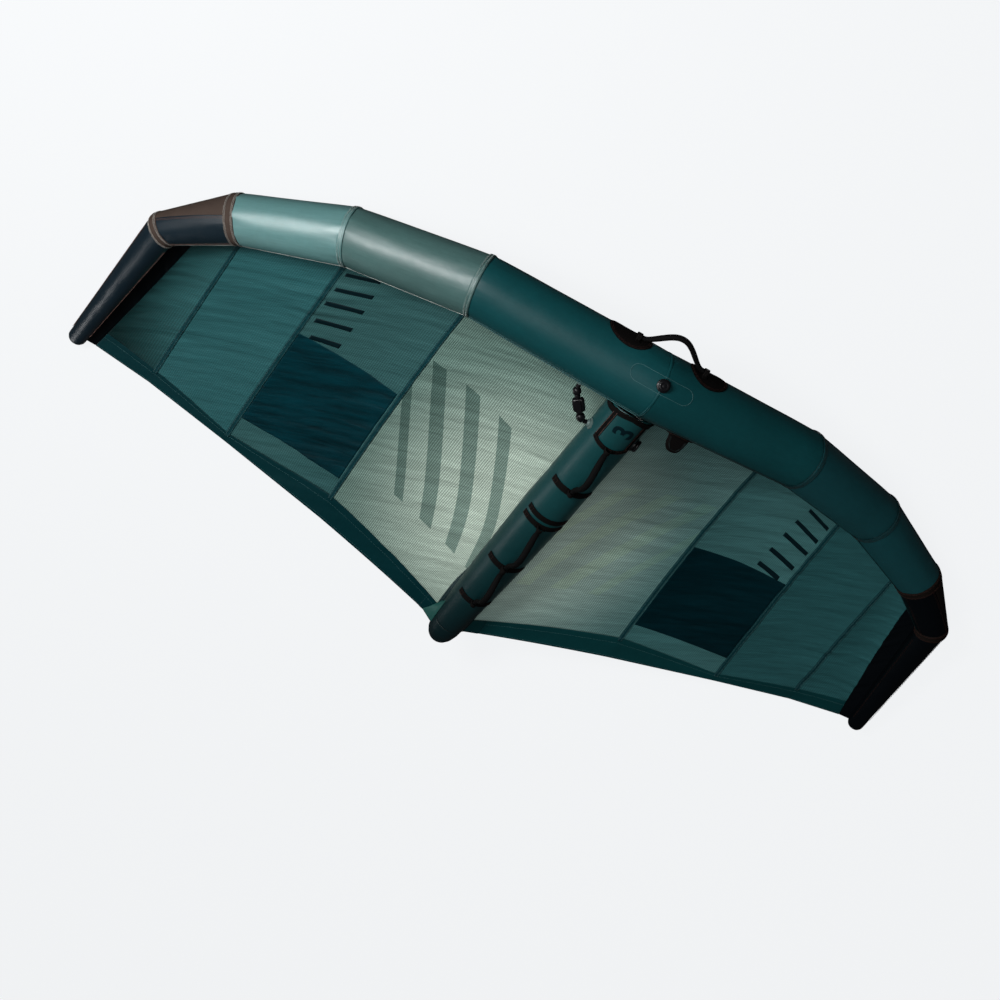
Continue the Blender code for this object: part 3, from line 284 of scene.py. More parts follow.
def dacron(name, colour, roughness=0.40, specular=0.22, streaks=0.10, painted_tail_shade=None):
    """Coated woven sailcloth of the inflated tubes: fine weave, satin streaks, softly uneven, with painted
    shade towards the tail where asked.
    """
    made, m, uv, at = start_material(name, roughness, specular)
    weave = m.group(WEAVE, Vector=uv, Threads_per_metre=900.0)
    tone = m.group(TONE, Vector=at, Size=5.0, Strength=0.30)
    # Painted shade: the colour darkens from the front towards the tail.
    if painted_tail_shade:
        colour = m.mix(m.ramp(m.split(at)[1], -0.10, 0.72), colour, painted_tail_shade)
    brushed = m.noise(m.node("Mapping", {0: uv, 3: (330.0, 14.0, 1.0)}).outputs[0], 1.0, 3.0, 0.6)
    uneven = weave * 0.05 + brushed * (2.0 * streaks) + (1.0 - streaks)
    rough = m.noise(at, 30.0) * 0.16 + (roughness - 0.08) + (brushed - 0.5) * streaks
    height = m.noise(at, 40.0, 4.0, 0.60) * 1.1 + weave * 0.12 + brushed * 0.25
    return finish_material(made, m, m.scale(m.scale(colour, tone), uneven), height, 0.25, 0.0015, rough)


def broad_stripes(m, uv, window):
    """Mask of broad slanted bars inside a window of the panel, from its UV metres."""
    slant, pitch, low_x, high_x, low_y, high_y = window
    across, along = m.split(uv)[:2]
    run = across + along * slant
    mask = m.math("LESS_THAN", m.math("FRACT", run / pitch), 0.42)
    for value, low, high in ((run, low_x, high_x), (along, low_y, high_y)):
        mask = mask * m.math("GREATER_THAN", value, low) * m.math("LESS_THAN", value, high)
    return mask


FOLD_DIRECTION = 0.40


def ripstop(name, colour, contrast, shade=None, stripes=None, painted_fold_shade=0.5):
    """Thin canopy cloth: square ripstop threads, crinkles, a painted glow that fades to painted shade, and
    painted shade on its folds.
    """
    made, m, uv, at = start_material(name, 0.50, 0.05)
    line = m.group(RIPSTOP, Vector=uv, Pitch=0.0062, Line_share=0.42)
    weave = m.group(WEAVE, Vector=uv, Threads_per_metre=1400.0)
    tone = m.group(TONE, Vector=at, Size=3.0, Strength=0.16)
    # Painted light: the colour is lighter round a middle point, as where light shines through the cloth, and
    # fades to painted shade farther out.
    if shade:
        middle, near, far, dark = shade
        away = m.vector_math("SUBTRACT", {0: at, 1: (*middle, 0.0)})
        flat = m.vector_math("MULTIPLY", {0: away, 1: (1.0, 0.8, 0.0)})
        reach = m.vector_math("LENGTH", {0: flat}, "Value")
        colour = m.mix(m.ramp(reach, near, far, "SMOOTHSTEP"), colour, dark)
    if stripes:
        colour = m.mix(broad_stripes(m, uv, stripes[0]), colour, stripes[1], "MULTIPLY")
    along_folds = m.node("Mapping", {0: at, 2: (0.0, 0.0, FOLD_DIRECTION), 3: (1.0, 0.16, 1.0)},
                         vector_type="TEXTURE").outputs[0]
    folds = m.noise(along_folds, 7.0, 4.0, 0.6)
    # Painted shade and highlight: the colour darkens and lightens with the same folds that raise the relief.
    colour = m.scale(colour, tone + (folds - 0.5) * painted_fold_shade)
    colour = m.scale(colour, 1.0 - line * contrast)
    return finish_material(made, m, colour, folds * 1.6 + line * 0.10 + weave * 0.02, 0.55, 0.006)


def webbing(name, colour, edge, pitch=330.0):
    """Woven strap, paler on the highs of its weave."""
    made, m, uv, at = start_material(name, 0.75, 0.07)
    weave = m.group(WEAVE, Vector=uv, Threads_per_metre=pitch)
    tone = m.group(TONE, Vector=at, Size=22.0, Strength=0.35)
    colour = m.mix(m.ramp(weave, -1.0, 1.0) * 0.55, colour, edge)
    return finish_material(made, m, m.scale(colour, tone), weave, 0.6, 0.0005)


def moulded(name, colour, roughness=0.4, specular=0.5):
    """Moulded plastic or rubber: fine grain and an uneven gloss."""
    made, m, uv, at = start_material(name, roughness, specular)
    tone = m.group(TONE, Vector=at, Size=40.0, Strength=0.3)
    rough = m.noise(at, 120.0) * 0.2 + (roughness - 0.1)
    return finish_material(made, m, m.scale(colour, tone), m.noise(at, 900.0, 2.0, 0.5), 0.25, 0.0003, rough)


def thread(name, colour):
    """Sewing thread with a fine twist."""
    made, m, uv, at = start_material(name, 0.75, 0.15)
    twist = m.noise(at, 1500.0, 1.0)
    return finish_material(made, m, m.scale(colour, twist * 0.5 + 0.75), twist, 0.4, 0.0002)


TEAL = dacron("teal_dacron", (0.003, 0.043, 0.048), 0.44, specular=0.13)
TEAL_DARK = dacron("deep_teal_dacron", (0.004, 0.048, 0.056), 0.40, specular=0.24)
# The strut's cloth darkens towards its tail: painted shade.
STRUT_TEAL = dacron("strut_teal_dacron", (0.004, 0.040, 0.043), 0.42, 0.20, painted_tail_shade=(0.0005, 0.008, 0.010))
MINT = dacron("mint_dacron", (0.042, 0.096, 0.091), 0.42, specular=0.46, streaks=0.20)
MINT_PALE = dacron("pale_mint_dacron", (0.072, 0.172, 0.170), 0.42, specular=0.70, streaks=0.20)
NAVY = dacron("navy_dacron", (0.003, 0.010, 0.016), 0.36, specular=0.30)
NAVY_DARK = dacron("dark_navy_dacron", (0.001, 0.002, 0.003), 0.45, specular=0.06)
BROWN = webbing("brown_chafe_cloth", (0.040, 0.028, 0.023), (0.075, 0.054, 0.043), 450.0)
BROWN_DARK = webbing("dark_chafe_cloth", (0.006, 0.004, 0.003), (0.012, 0.008, 0.006), 450.0)
# Centre panels: a painted glow near the strut, as of light through the cloth, fading to painted shade farther
# out.
SAGE_SHADE = ((0.02, 0.20), 0.08, 0.56)
BARS_WINDOW = (0.55, 0.118, 0.475, 0.86, 0.46, 0.90)
SAGE = ripstop("sage_ripstop", (0.660, 0.800, 0.680), 0.58, (*SAGE_SHADE, (0.150, 0.250, 0.215)),
               (BARS_WINDOW, (0.42, 0.50, 0.50)))
# The left centre panel's base is painted lighter: painted light that lifts the shadow the strut casts on it.
SAGE_LEFT = ripstop("left_sage_ripstop", (0.700, 0.900, 0.790), 0.52, (*SAGE_SHADE, (0.110, 0.230, 0.222)),
                    (BARS_WINDOW, (1.10, 1.10, 1.00)))
SEA = ripstop("sea_ripstop", (0.034, 0.105, 0.106), contrast=0.40)
SEA_LEFT = ripstop("left_sea_ripstop", (0.052, 0.155, 0.157), contrast=0.36)
SEA_OUTER = ripstop("outer_sea_ripstop", (0.024, 0.105, 0.112), contrast=0.34)
# Outer right panel: painted shade, darker towards the tip, as in the shade under the tube.
DEEP = ripstop("deep_teal_cloth", (0.024, 0.098, 0.102), contrast=0.34,
               shade=((0.93, 0.10), 0.16, 0.46, (0.002, 0.014, 0.014)))
# The dark blocks carry strong painted shade along their folds.
BLOCK = ripstop("dark_block_cloth", (0.0, 0.022, 0.030), contrast=0.12, painted_fold_shade=2.2)
BLOCK_LEFT = ripstop("left_dark_block_cloth", (0.0, 0.013, 0.018), contrast=0.12, painted_fold_shade=1.2)
HEM = dacron("dark_teal_hem_cloth", (0.0006, 0.021, 0.025), 0.5, specular=0.06)
HEM_LEFT = dacron("left_dark_teal_hem_cloth", (0.002, 0.032, 0.035), 0.5, specular=0.06)
TAPE = dacron("seam_tape_cloth", (0.002, 0.030, 0.036), 0.5, specular=0.10)
BAR_CLOTH = dacron("dark_bar_cloth", (0.001, 0.008, 0.011), 0.5, specular=0.06)
GREEN = dacron("green_gusset_cloth", (0.010, 0.070, 0.060), 0.5)
WEB = webbing("black_webbing", (0.001, 0.001, 0.001), (0.006, 0.004, 0.0035))
PAD = webbing("black_handle_cloth", (0.001, 0.001, 0.0012), (0.0045, 0.0042, 0.0042), 600.0)
PLASTIC = moulded("black_moulded_plastic", (0.004, 0.004, 0.005), 0.32, specular=0.25)
RUBBER = moulded("pale_grey_port", (0.075, 0.115, 0.11), 0.45, specular=0.3)
HOSE = moulded("black_hose_rubber", (0.003, 0.003, 0.004), 0.42, specular=0.2)
FILM = moulded("clear_bladder_film", (0.55, 0.57, 0.55), 0.3)
THREAD = thread("pale_thread", (0.34, 0.32, 0.29))
THREAD_TEAL = thread("teal_thread", (0.050, 0.125, 0.13))
THREAD_DARK = thread("dark_thread", (0.012, 0.020, 0.020))
THREAD_MINT = thread("mint_thread", (0.30, 0.37, 0.35))
THREAD_ROSE = thread("rose_thread", (0.15, 0.085, 0.070))
THREAD_RED = thread("reddish_thread", (0.022, 0.008, 0.006))
PIPING = dacron("pale_piping_cloth", (0.30, 0.33, 0.31), 0.5)
PIPING_TEAL = dacron("teal_piping_cloth", (0.012, 0.050, 0.052), 0.5, specular=0.1)
PIPING_DARK = dacron("dark_piping_cloth", (0.002, 0.010, 0.011), 0.5, specular=0.1)


# The tube's stations, numbered from -5 at the left tip to 5 at the right tip
@lru_cache(None)
def station_radius(index):
    return TUBE_RADIUS * tube_radius_shares[abs(index)]


@lru_cache(None)
def station_centre(index):
    rank = abs(index)
    pad = 0.0 if rank == 5 else CHAFE_THICKNESS + SEAM_GAP
    height = pad + ARCH_HEIGHT * arch_shares[rank] + station_radius(index)
    out = math.copysign(1.0, index) * HALF_SPAN * span_shares[rank]
    return Vector((out, SWEEP * sweep_shares[rank], height))


@lru_cache(None)
def station_axes(index):
    """Mitre plane of a station: its normal, and the backward and upward radius vectors."""
    here = station_centre(index)
    before = (here - station_centre(index - 1)).normalized() if index > -5 else None
    after = (station_centre(index + 1) - here).normalized() if index < 5 else None
    before, after = before or after, after or before
    normal = (before + after).normalized()
    back = Vector((0.0, 0.0, 1.0)).cross(normal).normalized()
    up = normal.cross(back)
    bend = after - before
    if bend.length > 1e-6:
        bend.normalize()
        stretch = 1.0 / normal.dot(before) - 1.0
        back = back + bend * (bend.dot(back) * stretch)
        up = up + bend * (bend.dot(up) * stretch)
    return normal, back, up


def ring_point(index, angle, clearance):
    """Point on a station's ring; angle in degrees from straight back, 90 at the top."""
    back, up = station_axes(index)[1:]
    turn = math.radians(angle)
    reach = station_radius(index) + clearance
    return station_centre(index) + (back * math.cos(turn) + up * math.sin(turn)) * reach


def tube_point(place, angle, clearance):
    """Point on the leading edge; place counts stations from the middle, minus to the left."""
    side = -1 if place < 0 else 1
    low = min(int(abs(place)), 4)
    return ring_point(low * side, angle, clearance).lerp(ring_point((low + 1) * side, angle, clearance),
                                                         abs(place) - low)


strut_start = station_centre(0)
strut_slope = math.atan2(STRUT_DROP, STRUT_REACH)
strut_length = math.hypot(STRUT_REACH, STRUT_DROP)
tail_seam = strut_length - TAIL_CAP_LENGTH
strut_place = Matrix.Translation(strut_start) @ Matrix.Rotation(-math.pi / 2 - strut_slope, 4, "X")


def strut_radius(distance):
    """Smooth taper through the model's own profile."""
    share = min(max(distance / strut_length, 0.0), 1.0)
    for (x0, y0), (x1, y1) in zip(strut_profile_shares, strut_profile_shares[1:]):
        if share <= x1:
            return STRUT_RADIUS * (y0 + (y1 - y0) * (share - x0) / (x1 - x0))
    return 0.0


def strut_point(distance, angle, radius):
    """Point round the strut; angle counts from its top towards +X, in degrees."""
    turn = math.radians(angle)
    return strut_place @ Vector((radius * math.sin(turn), -radius * math.cos(turn), distance))


def smooth_blend(values, place):
    """Catmull-Rom through values at whole places."""
    low = min(int(place), len(values) - 2)
    share = place - low
    at = [values[min(max(index, 0), len(values) - 1)] for index in range(low - 1, low + 3)]
    return (at[1] + (at[2] - at[0]) * share / 2
            + (at[0] - at[1] * 2.5 + at[2] * 2 - at[3] / 2) * share ** 2
            + ((at[1] - at[2]) * 1.5 + (at[3] - at[0]) / 2) * share ** 3)


def straight_blend(values, place):
    low = min(int(place), len(values) - 2)
    return values[low] + (values[low + 1] - values[low]) * (place - low)


def cubic(start, first, last, stop, along):
    rest = 1.0 - along
    return (start * rest ** 3 + first * (3 * rest ** 2 * along)
            + last * (3 * rest * along ** 2) + stop * along ** 3)


trail_points, first_controls, last_controls = [], [], []
for rank in range(5):
    lead = tube_point(canopy_station_shares[rank], leading_angles[rank], CLOTH_GAP)
    x_end = HALF_SPAN * trail_x_shares[rank]
    trail_points.append(Vector((x_end, TRAIL_Y * trail_y_shares[rank], TRAIL_Z * trail_z_shares[rank])))
    first_controls.append(Vector((lead.x + (x_end - lead.x) * 0.2, TRAIL_Y * first_control_y_shares[rank],
                                  TRAIL_Z * first_control_z_shares[rank])))
    last_controls.append(Vector((lead.x + (x_end - lead.x) * 0.75, TRAIL_Y * last_control_y_shares[rank],
                                 TRAIL_Z * last_control_z_shares[rank])))
lead_root = tube_point(0.0, leading_angles[0], CLOTH_GAP)


def side_ramp(along):
    """How far the canopy's root has risen from under the strut to its side, 0 to 1."""
    ramp = min(max((along - SIDE_START_SHARE) / (1 - SIDE_START_SHARE), 0.0), 1.0)
    return ramp * ramp * (3 - 2 * ramp)


def root_angle(along):
    return UNDER_ANGLE + (SIDE_ANGLE - UNDER_ANGLE) * side_ramp(along)


def root_distance(along):
    return (lead_root.y + (TRAIL_Y - lead_root.y) * along - strut_start.y) / math.cos(strut_slope)


def strut_side(along):
    """Where the canopy meets the strut: under it in front, at its side by the tail."""
    distance = root_distance(along)
    clearance = CLOTH_GAP + SEAM_GAP + SIDE_CLEARANCE * math.sin(math.pi * side_ramp(along))
    return strut_point(distance, root_angle(along), strut_radius(distance) + clearance)


def canopy_point(along, place):
    """Point of the right canopy; along runs 0 to 1 from front to rear, place counts ribs."""
    station = straight_blend(canopy_station_shares, place)
    lead = tube_point(station, straight_blend(leading_angles, place), CLOTH_GAP)
    tail = straight_blend(trail_points, place)
    point = cubic(lead, smooth_blend(first_controls, place), smooth_blend(last_controls, place), tail, along)
    if place < 1.0:
        straight = cubic(lead_root, first_controls[0], last_controls[0], trail_points[0], along)
        root = lead_root.lerp(strut_side(ROOT_JOIN_SHARE), min(along / ROOT_JOIN_SHARE, 1.0))
        if along > ROOT_JOIN_SHARE:
            root = strut_side(along)
        point = point + (root - straight) * (1.0 - place) ** 2
    share = place - int(place)
    point.z -= CANOPY_BILLOW * 4 * share * (1 - share) * math.sin(math.pi * along)
    return point


def band_start(place):
    """Share of the chord at which the trailing edge band begins."""
    front = canopy_point(0.0, place)
    rear = canopy_point(1.0, place)
    return 1.0 - BAND_WIDTH * straight_blend(band_width_shares, place) / (rear - front).length


# Making and finishing pieces
def add_object(name, data):
    made = bpy.data.objects.new(name, data)
    bpy.context.scene.collection.objects.link(made)
    return made


def dress(made, nodes=(), body="wing"):
    """Ride a piece on its body, and let it stand for the model's nodes."""
    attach(made, body)
    if nodes:
        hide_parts(*nodes)
    return made


def settle(bm, name, surface, nodes=(), body="wing", wall=None, offset=-1.0, place=None, smooth=True):
    """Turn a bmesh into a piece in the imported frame; what would sink in the floor is pressed flat."""
    mesh = bpy.data.meshes.new(name)
    bm.to_mesh(mesh)
    bm.free()
    mesh.transform(LAYOUT @ place if place else LAYOUT)
    for vert in mesh.vertices:
        vert.co.z = max(vert.co.z, 0.0)
    if smooth:
        mesh.shade_smooth()
    mesh.materials.append(surface)
    made = dress(add_object(name, mesh), nodes, body)
    if wall:
        cloth = made.modifiers.new("wall", "SOLIDIFY")
        cloth.thickness = wall
        cloth.offset = offset
    return made


def wear_edges(made, width):
    """Slightly rounded edges of cut webbing."""
    bevel = made.modifiers.new("worn_edge", "BEVEL")
    bevel.width = width
    bevel.segments = 2
    bevel.limit_method = "ANGLE"
    bevel.angle_limit = math.radians(50)


def bent_grid(columns, rows, point_at, size, closed=False):
    """Grid with UVs in metres, bent by a function of shares across and along."""
    bm = bmesh.new()
    uv = bm.loops.layers.uv.new("UVMap")
    bmesh.ops.create_grid(bm, x_segments=columns, y_segments=rows, size=0.5)
    for face in bm.faces:
        for loop in face.loops:
            loop[uv].uv = ((loop.vert.co.x + 0.5) * size[0], (loop.vert.co.y + 0.5) * size[1])
    for vert in bm.verts:
        vert.co = point_at(vert.co.x + 0.5, vert.co.y + 0.5)
    if closed:
        bmesh.ops.remove_doubles(bm, verts=bm.verts[:], dist=1e-6)
    bmesh.ops.recalc_face_normals(bm, faces=bm.faces[:])
    return bm


def face_toward(bm, direction=Vector((0.0, 0.0, 1.0))):
    """Turn the faces round if most look away from a direction."""
    if sum(face.normal.dot(direction) for face in bm.faces) < 0:
        bmesh.ops.reverse_faces(bm, faces=bm.faces[:])


def fill_holes(bm, longest=math.inf):
    """Close the openings whose edges are shorter than a length."""
    rims = [edge for edge in bm.edges if len(edge.link_faces) == 1 and edge.calc_length() < longest]
    bmesh.ops.holes_fill(bm, edges=rims, sides=0)


def mirrored(point, side):
    return Vector((point.x * side, point.y, point.z))


def crowned(value, power):
    """A sine or cosine that is flattened towards a fuller section."""
    return math.copysign(abs(value) ** power, value)


def wave_noise(*place):
    return noise.noise(Vector(place))


# Inflated leading edge: each sleeve swells between its seams and puckers beside them
def turn_of(across):
    """Angle at a share of the way round a tube, from its underside."""
    return -90.0 - 360.0 * across


def sleeve_shape(near, far):
    length = (station_centre(near) - station_centre(far)).length

    def point_at(across, along):
        angle = turn_of(across)
        point = ring_point(near, angle, 0.0).lerp(ring_point(far, angle, 0.0), along)
        axis = station_centre(near).lerp(station_centre(far), along)
        edge = min(along, 1.0 - along) * length
        swell = TUBE_SWELL * (1.0 - math.exp(-edge / 0.02))
        wave = wave_noise(across * 46.0, along * 2.0 + near * 7.3, 0.0)
        pucker = TUBE_PUCKER * math.exp(-edge / 0.020) * wave
        crease = TUBE_CREASE * math.exp(-edge / 0.10) * wave_noise(across * 17.0, edge * 9.0, near * 3.1)
        sunk = SEAM_SINK * math.exp(-edge / 0.004)
        return point + (point - axis).normalized() * (swell + pucker + crease - sunk)

    return point_at, length


def tip_shape(side):
    """Tip sleeve from the last seam to its rounded end."""
    first, last = 4 * side, 5 * side
    normal = station_axes(last)[0] * side
    centre = station_centre(last)
    radius = station_radius(last)
    length = (station_centre(5) - station_centre(4)).length
    straight = length / (length + radius * 1.1)

    def point_at(across, along):
        angle = turn_of(across)
        if along > straight:
            turn = math.pi / 2 * (along - straight) / (1 - straight)
            ring = ring_point(last, angle, 0.0) - centre
            return centre + ring * max(math.cos(turn), 0.0) + normal * radius * 0.78 * math.sin(turn)
        share = along / straight
        point = ring_point(first, angle, 0.0).lerp(ring_point(last, angle, 0.0), share)
        axis = station_centre(first).lerp(centre, share)
        edge = share * length
        pucker = TIP_PUCKER * math.exp(-edge / 0.02) * wave_noise(across * 30.0, share * 4.0, side * 2.0)
        crease = TIP_CREASE * wave_noise(across * 8.0, share * 9.0, 4.0 + side)
        return point + (point - axis).normalized() * (pucker + crease * min(edge / 0.03, 1.0))

    return point_at, length


tube_cloth = {"left": (TEAL, TEAL_DARK, TEAL_DARK, NAVY_DARK), "right": (TEAL, MINT, MINT_PALE, NAVY)}
for side_name, side in SIDES:
    for rank, tube_name in enumerate(section_names):
        point_at, length = sleeve_shape(side * rank, side * (rank + 1))
        bm = bent_grid(112, max(int(length / 0.006), 20), point_at, (math.tau * station_radius(rank), length),
                       closed=True)
        settle(bm, f"tube_cloth_{tube_name}_{side_name}", tube_cloth[side_name][rank],
               [f"le_sleeve_{tube_name}_{side_name}"], wall=TUBE_WALL)
for side_name, side in SIDES:
    point_at, length = tip_shape(side)
    bm = bent_grid(80, 84, point_at, (math.tau * 0.035, length), closed=True)
    settle(bm, f"tube_cloth_tip_{side_name}", tube_cloth[side_name][3],
           [f"le_sleeve_tip_{side_name}"], wall=TUBE_WALL)


def bladder_at(across, along):
    """Clear film tube inside the leading edge, from tip to tip."""
    return tube_point((along * 2 - 1) * 5.0, turn_of(across), -0.0032)


bm = bent_grid(40, 100, bladder_at, (0.5, 3.2), closed=True)
settle(bm, "tube_bladder_film", FILM, ["le_bladder"])


# Seams of the leading edge: felled rings, brown bands, piping and stitching
def seam_point(index, angle, offset, clearance):
    """Point beside a seam ring; offset is along the tube, positive away from the middle."""
    side = -1 if index < 0 else 1
    toward = index + (side if offset > 0 else -side)
    share = abs(offset) / (station_centre(toward) - station_centre(index)).length
    return ring_point(index, angle, clearance).lerp(ring_point(toward, angle, clearance), share)


def ring_band(name, index, width, clearance, height, surface, nodes=(), shift=0.0):
    """Cloth band round the tube with soft edges, laid over a seam or beside it."""
    def point_at(across, along):
        lift = height * min(1.0, min(along, 1.0 - along) * width / 0.0016)
        ripple = BAND_RIPPLE * wave_noise(across * 60.0, along * 3.0, index * 2.7)
        return seam_point(index, turn_of(across), (along - 0.5) * width + shift, clearance + lift + ripple)

    bm = bent_grid(128, 8, point_at, (math.tau * station_radius(index), width), closed=True)
    settle(bm, name, surface, nodes, wall=0.0009)


class Thread:
    """Gathers lines of round thread or cord into one piece."""

    def __init__(self, name, surface, radius, resolution=0):
        self.curve = bpy.data.curves.new(name, "CURVE")
        self.curve.dimensions = "3D"
        self.curve.bevel_depth = radius
        self.curve.bevel_resolution = resolution
        self.curve.use_fill_caps = True
        self.curve.materials.append(surface)

    def line(self, points):
        spline = self.curve.splines.new("POLY")
        spline.points.add(len(points) - 1)
        for slot, point in zip(spline.points, points):
            placed = LAYOUT @ point
            slot.co = (placed.x, placed.y, max(placed.z, self.curve.bevel_depth), 1.0)

    def zigzag(self, path, length, width, pitch=0.0042):
        """path(share, offset) gives a point; the thread hops from edge to edge."""
        count = max(int(length / pitch * 2), 4)
        self.line([path(step / count, width * (0.5 if step % 2 else -0.5)) for step in range(count + 1)])

    def dashes(self, path, length, stitch=0.0034, gap=0.0012):
        """Straight stitches of one length along a path, with gaps between them."""
        count = max(int(length / (stitch + gap)), 2)
        share = stitch / (stitch + gap)
        for step in range(count):
            self.line([path((step + part) / count, 0.0) for part in (0.0, share / 2, share)])

    def finish(self, slot, nodes=(), body="wing"):
        return dress(add_object(self.curve.name, self.curve), nodes, body)


def ring_path(index, offset, clearance, start=-90.0, reach=360.0):
    """Path round the tube beside a seam ring."""
    return lambda share, shift: seam_point(index, start - reach * share, offset + shift, clearance)


def tube_path(first, last, angle, clearance, drift=0.0):
    """Path along the tube between two places; its angle drifts in degrees for each section."""
    def path(share, shift):
        place = first + (last - first) * share
        return tube_point(place, angle + drift * (abs(place) - int(abs(place))), clearance)
    return path


def round_line(name, points, radius, surface, slot, body="wing", resolution=2, nodes=()):
    """One round cord along points of the layout."""
    cord = Thread(name, surface, radius, resolution)
    cord.line(points)
    return cord.finish(slot, nodes, body)


def chafe_patch(name, side, cloth, places, tops, bottom, lift, folds, grid, size):
    """Chafe cloth on the tube between two places, from its top angles down to one bottom angle."""
    def point_at(across, along):
        place = places[0] + places[1] * along
        top = tops[0] + tops[1] * along
        ripple = PATCH_RIPPLE * wave_noise(across * folds[0], along * folds[1], side)
        return tube_point(place * side, top + (bottom - top) * across, lift + ripple)

    settle(bent_grid(*grid, point_at, size), name, cloth, wall=PATCH_WALL)


def joint_angle(place):
    """Where the canopy's piping runs on the rear of the tube."""
    return straight_blend((37.0, 38.0, 37.0, 33.0, 22.0, 10.0), place)


# Chafe cloth, piping near the middle and farther out, and threads: rings, bands, long lines, tips
# The left side's piping is dark: painted shade along the line where the canopy meets the tube.
seam_looks = {
    "left": (BROWN_DARK, PIPING_DARK, PIPING_DARK, THREAD_DARK, THREAD_RED, THREAD_DARK, THREAD_RED),
    "right": (BROWN, PIPING_TEAL, PIPING, THREAD_MINT, THREAD, THREAD_TEAL, THREAD_ROSE)}
long_line_angles = (41.0, 44.0, 52.0)
tip_lines = ((3.07, 3.94, (46.0, 50.0), 0.0, 0.0017), (4.07, 4.93, (22.0, 27.0), 0.0, 0.0017),
             (4.07, 4.93, (160.0, 164.0), 0.0, 0.0028), (3.07, 3.94, (120.0, 123.0), 30.0, 0.0028))

ring_band("centre_seam_band", 0, 0.008, 0.0006, 0.0002, TEAL)
centre_thread = Thread("centre_stitches", THREAD_TEAL, THIN_THREAD)
for offset in (-0.0022, 0.0022):
    centre_thread.dashes(ring_path(0, offset, 0.0013, 84.0, 140.0), 0.22)
centre_thread.finish("webbing")
for side_name, side in SIDES:
    chafe_cloth, inner_piping, outer_piping, *threads = seam_looks[side_name]
    rings = Thread(f"ring_stitches_{side_name}", threads[0], SEWING_THREAD)
    for rank, seam_name in ((1, "inner"), (2, "outer")):
        ring_band(f"seam_band_{seam_name}_{side_name}", side * rank, 0.017, 0.0009, 0.0005,
                  tube_cloth[side_name][rank], shift=0.003)
        fold = [seam_point(side * rank, -90.0 - 3.6 * step, -0.0060, 0.0014) for step in range(101)]
        round_line(f"seam_fold_{seam_name}_{side_name}", fold, 0.0006, PIPING_DARK, "teal_dacron",
                   resolution=1)
        for offset in (-0.0010, 0.0062):
            rings.zigzag(ring_path(side * rank, offset, 0.0027), math.tau * station_radius(rank), 0.0042)
    rings.finish("webbing")
    bands = Thread(f"band_stitches_{side_name}", threads[1], SEWING_THREAD)
    for rank, seam_name in ((3, "outer"), (4, "shoulder")):
        ring_band(f"chafe_cloth_{seam_name}_{side_name}", side * rank, CHAFE_WIDTH, 0.0011, 0.0010,
                  chafe_cloth, [f"chafe_band_{seam_name}_{side_name}"])
        for offset in (-0.0120, -0.0085, 0.0120, 0.0085):
            bands.zigzag(ring_path(side * rank, offset, 0.0029), math.tau * station_radius(rank), 0.0026)
    bands.finish("webbing")

    chafe_patch(f"chafe_patch_shoulder_{side_name}", side, chafe_cloth, (3.045, 0.905), (128.0, 30.0), 300.0,
                0.0022, (20.0, 8.0), (60, 30), (0.2, 0.16))
    chafe_patch(f"chafe_patch_tip_{side_name}", side, chafe_cloth, (4.06, 0.90), (168.0, 12.0), 285.0,
                0.0018, (12.0, 14.0), (30, 60), (0.09, 0.3))

    for stretch, first_step, last_step, cloth in (("centre", 0, 20, inner_piping),
                                                  ("outer", 20, 80, outer_piping)):
        points = [tube_point(side * step / 20.0, joint_angle(step / 20.0), 0.0012)
                  for step in range(first_step, last_step + 1)]
        round_line(f"joint_piping_{stretch}_{side_name}", points, 0.0012, cloth, "webbing")
    long_lines = Thread(f"long_stitches_{side_name}", threads[2], BOLD_THREAD)
    tips = Thread(f"tip_stitches_{side_name}", threads[3], FINE_THREAD)
    for angle in long_line_angles:
        long_lines.dashes(tube_path(0.012 * side, 0.985 * side, angle, 0.0019), 0.5)
    for low, high, angles, drift, clearance in tip_lines:
        for angle in angles:
            tips.dashes(tube_path(low * side, high * side, angle, clearance, drift), 0.18)
    long_lines.finish("webbing")
    tips.finish("webbing")


# Strut: sleeve, tail and bladder film
strut_creases = (tail_seam, 0.42, 0.826, 1.04)
FRONT_TRIM = 0.0795


def strut_shape(start, stop, inset):
    def point_at(across, along):
        distance = start + (stop - start) * along
        radius = strut_radius(distance) - inset
        edge = min(abs(distance - crease) for crease in strut_creases)
        crease = STRUT_SEAM_CREASE * math.exp(-edge / 0.05) * wave_noise(across * 17.0, distance * 14.0, 1.3)
        crease += STRUT_CREASE * wave_noise(across * 5.0, distance * 6.0, 8.0)
        return strut_point(distance, 180.0 + 360.0 * across, radius + crease * min(radius / 0.03, 1.0))
    return point_at


bm = bent_grid(96, 190, strut_shape(FRONT_TRIM, tail_seam - SEAM_GAP / 2, 0.0), (0.42, 1.15), closed=True)
for vert in bm.verts:
    local = vert.co - station_centre(0)
    if local.y < 0.12:
        seat = math.sqrt(max((TUBE_RADIUS + 0.0004) ** 2 - min(abs(local.z), TUBE_RADIUS) ** 2, 0.0))
        start_y = FRONT_TRIM * math.cos(strut_slope)
        shift = (seat - start_y) * max(0.0, 1.0 - (local.y - start_y) / 0.05)
        vert.co.y += min(shift, 0.0) if local.y > seat + 0.02 else shift
settle(bm, "strut_cloth", STRUT_TEAL, ["strut_sleeve"], wall=TUBE_WALL)
bm = bent_grid(72, 30, strut_shape(tail_seam + SEAM_GAP / 2, strut_length, 0.0), (0.3, 0.12), closed=True)
settle(bm, "strut_tail_cloth", STRUT_TEAL, ["strut_tail_cap"], wall=TUBE_WALL)
bm = bent_grid(40, 40, strut_shape(0.15, strut_length - 0.01, 0.003), (0.4, 1.2), closed=True)
settle(bm, "strut_bladder_film", FILM, ["strut_bladder"])


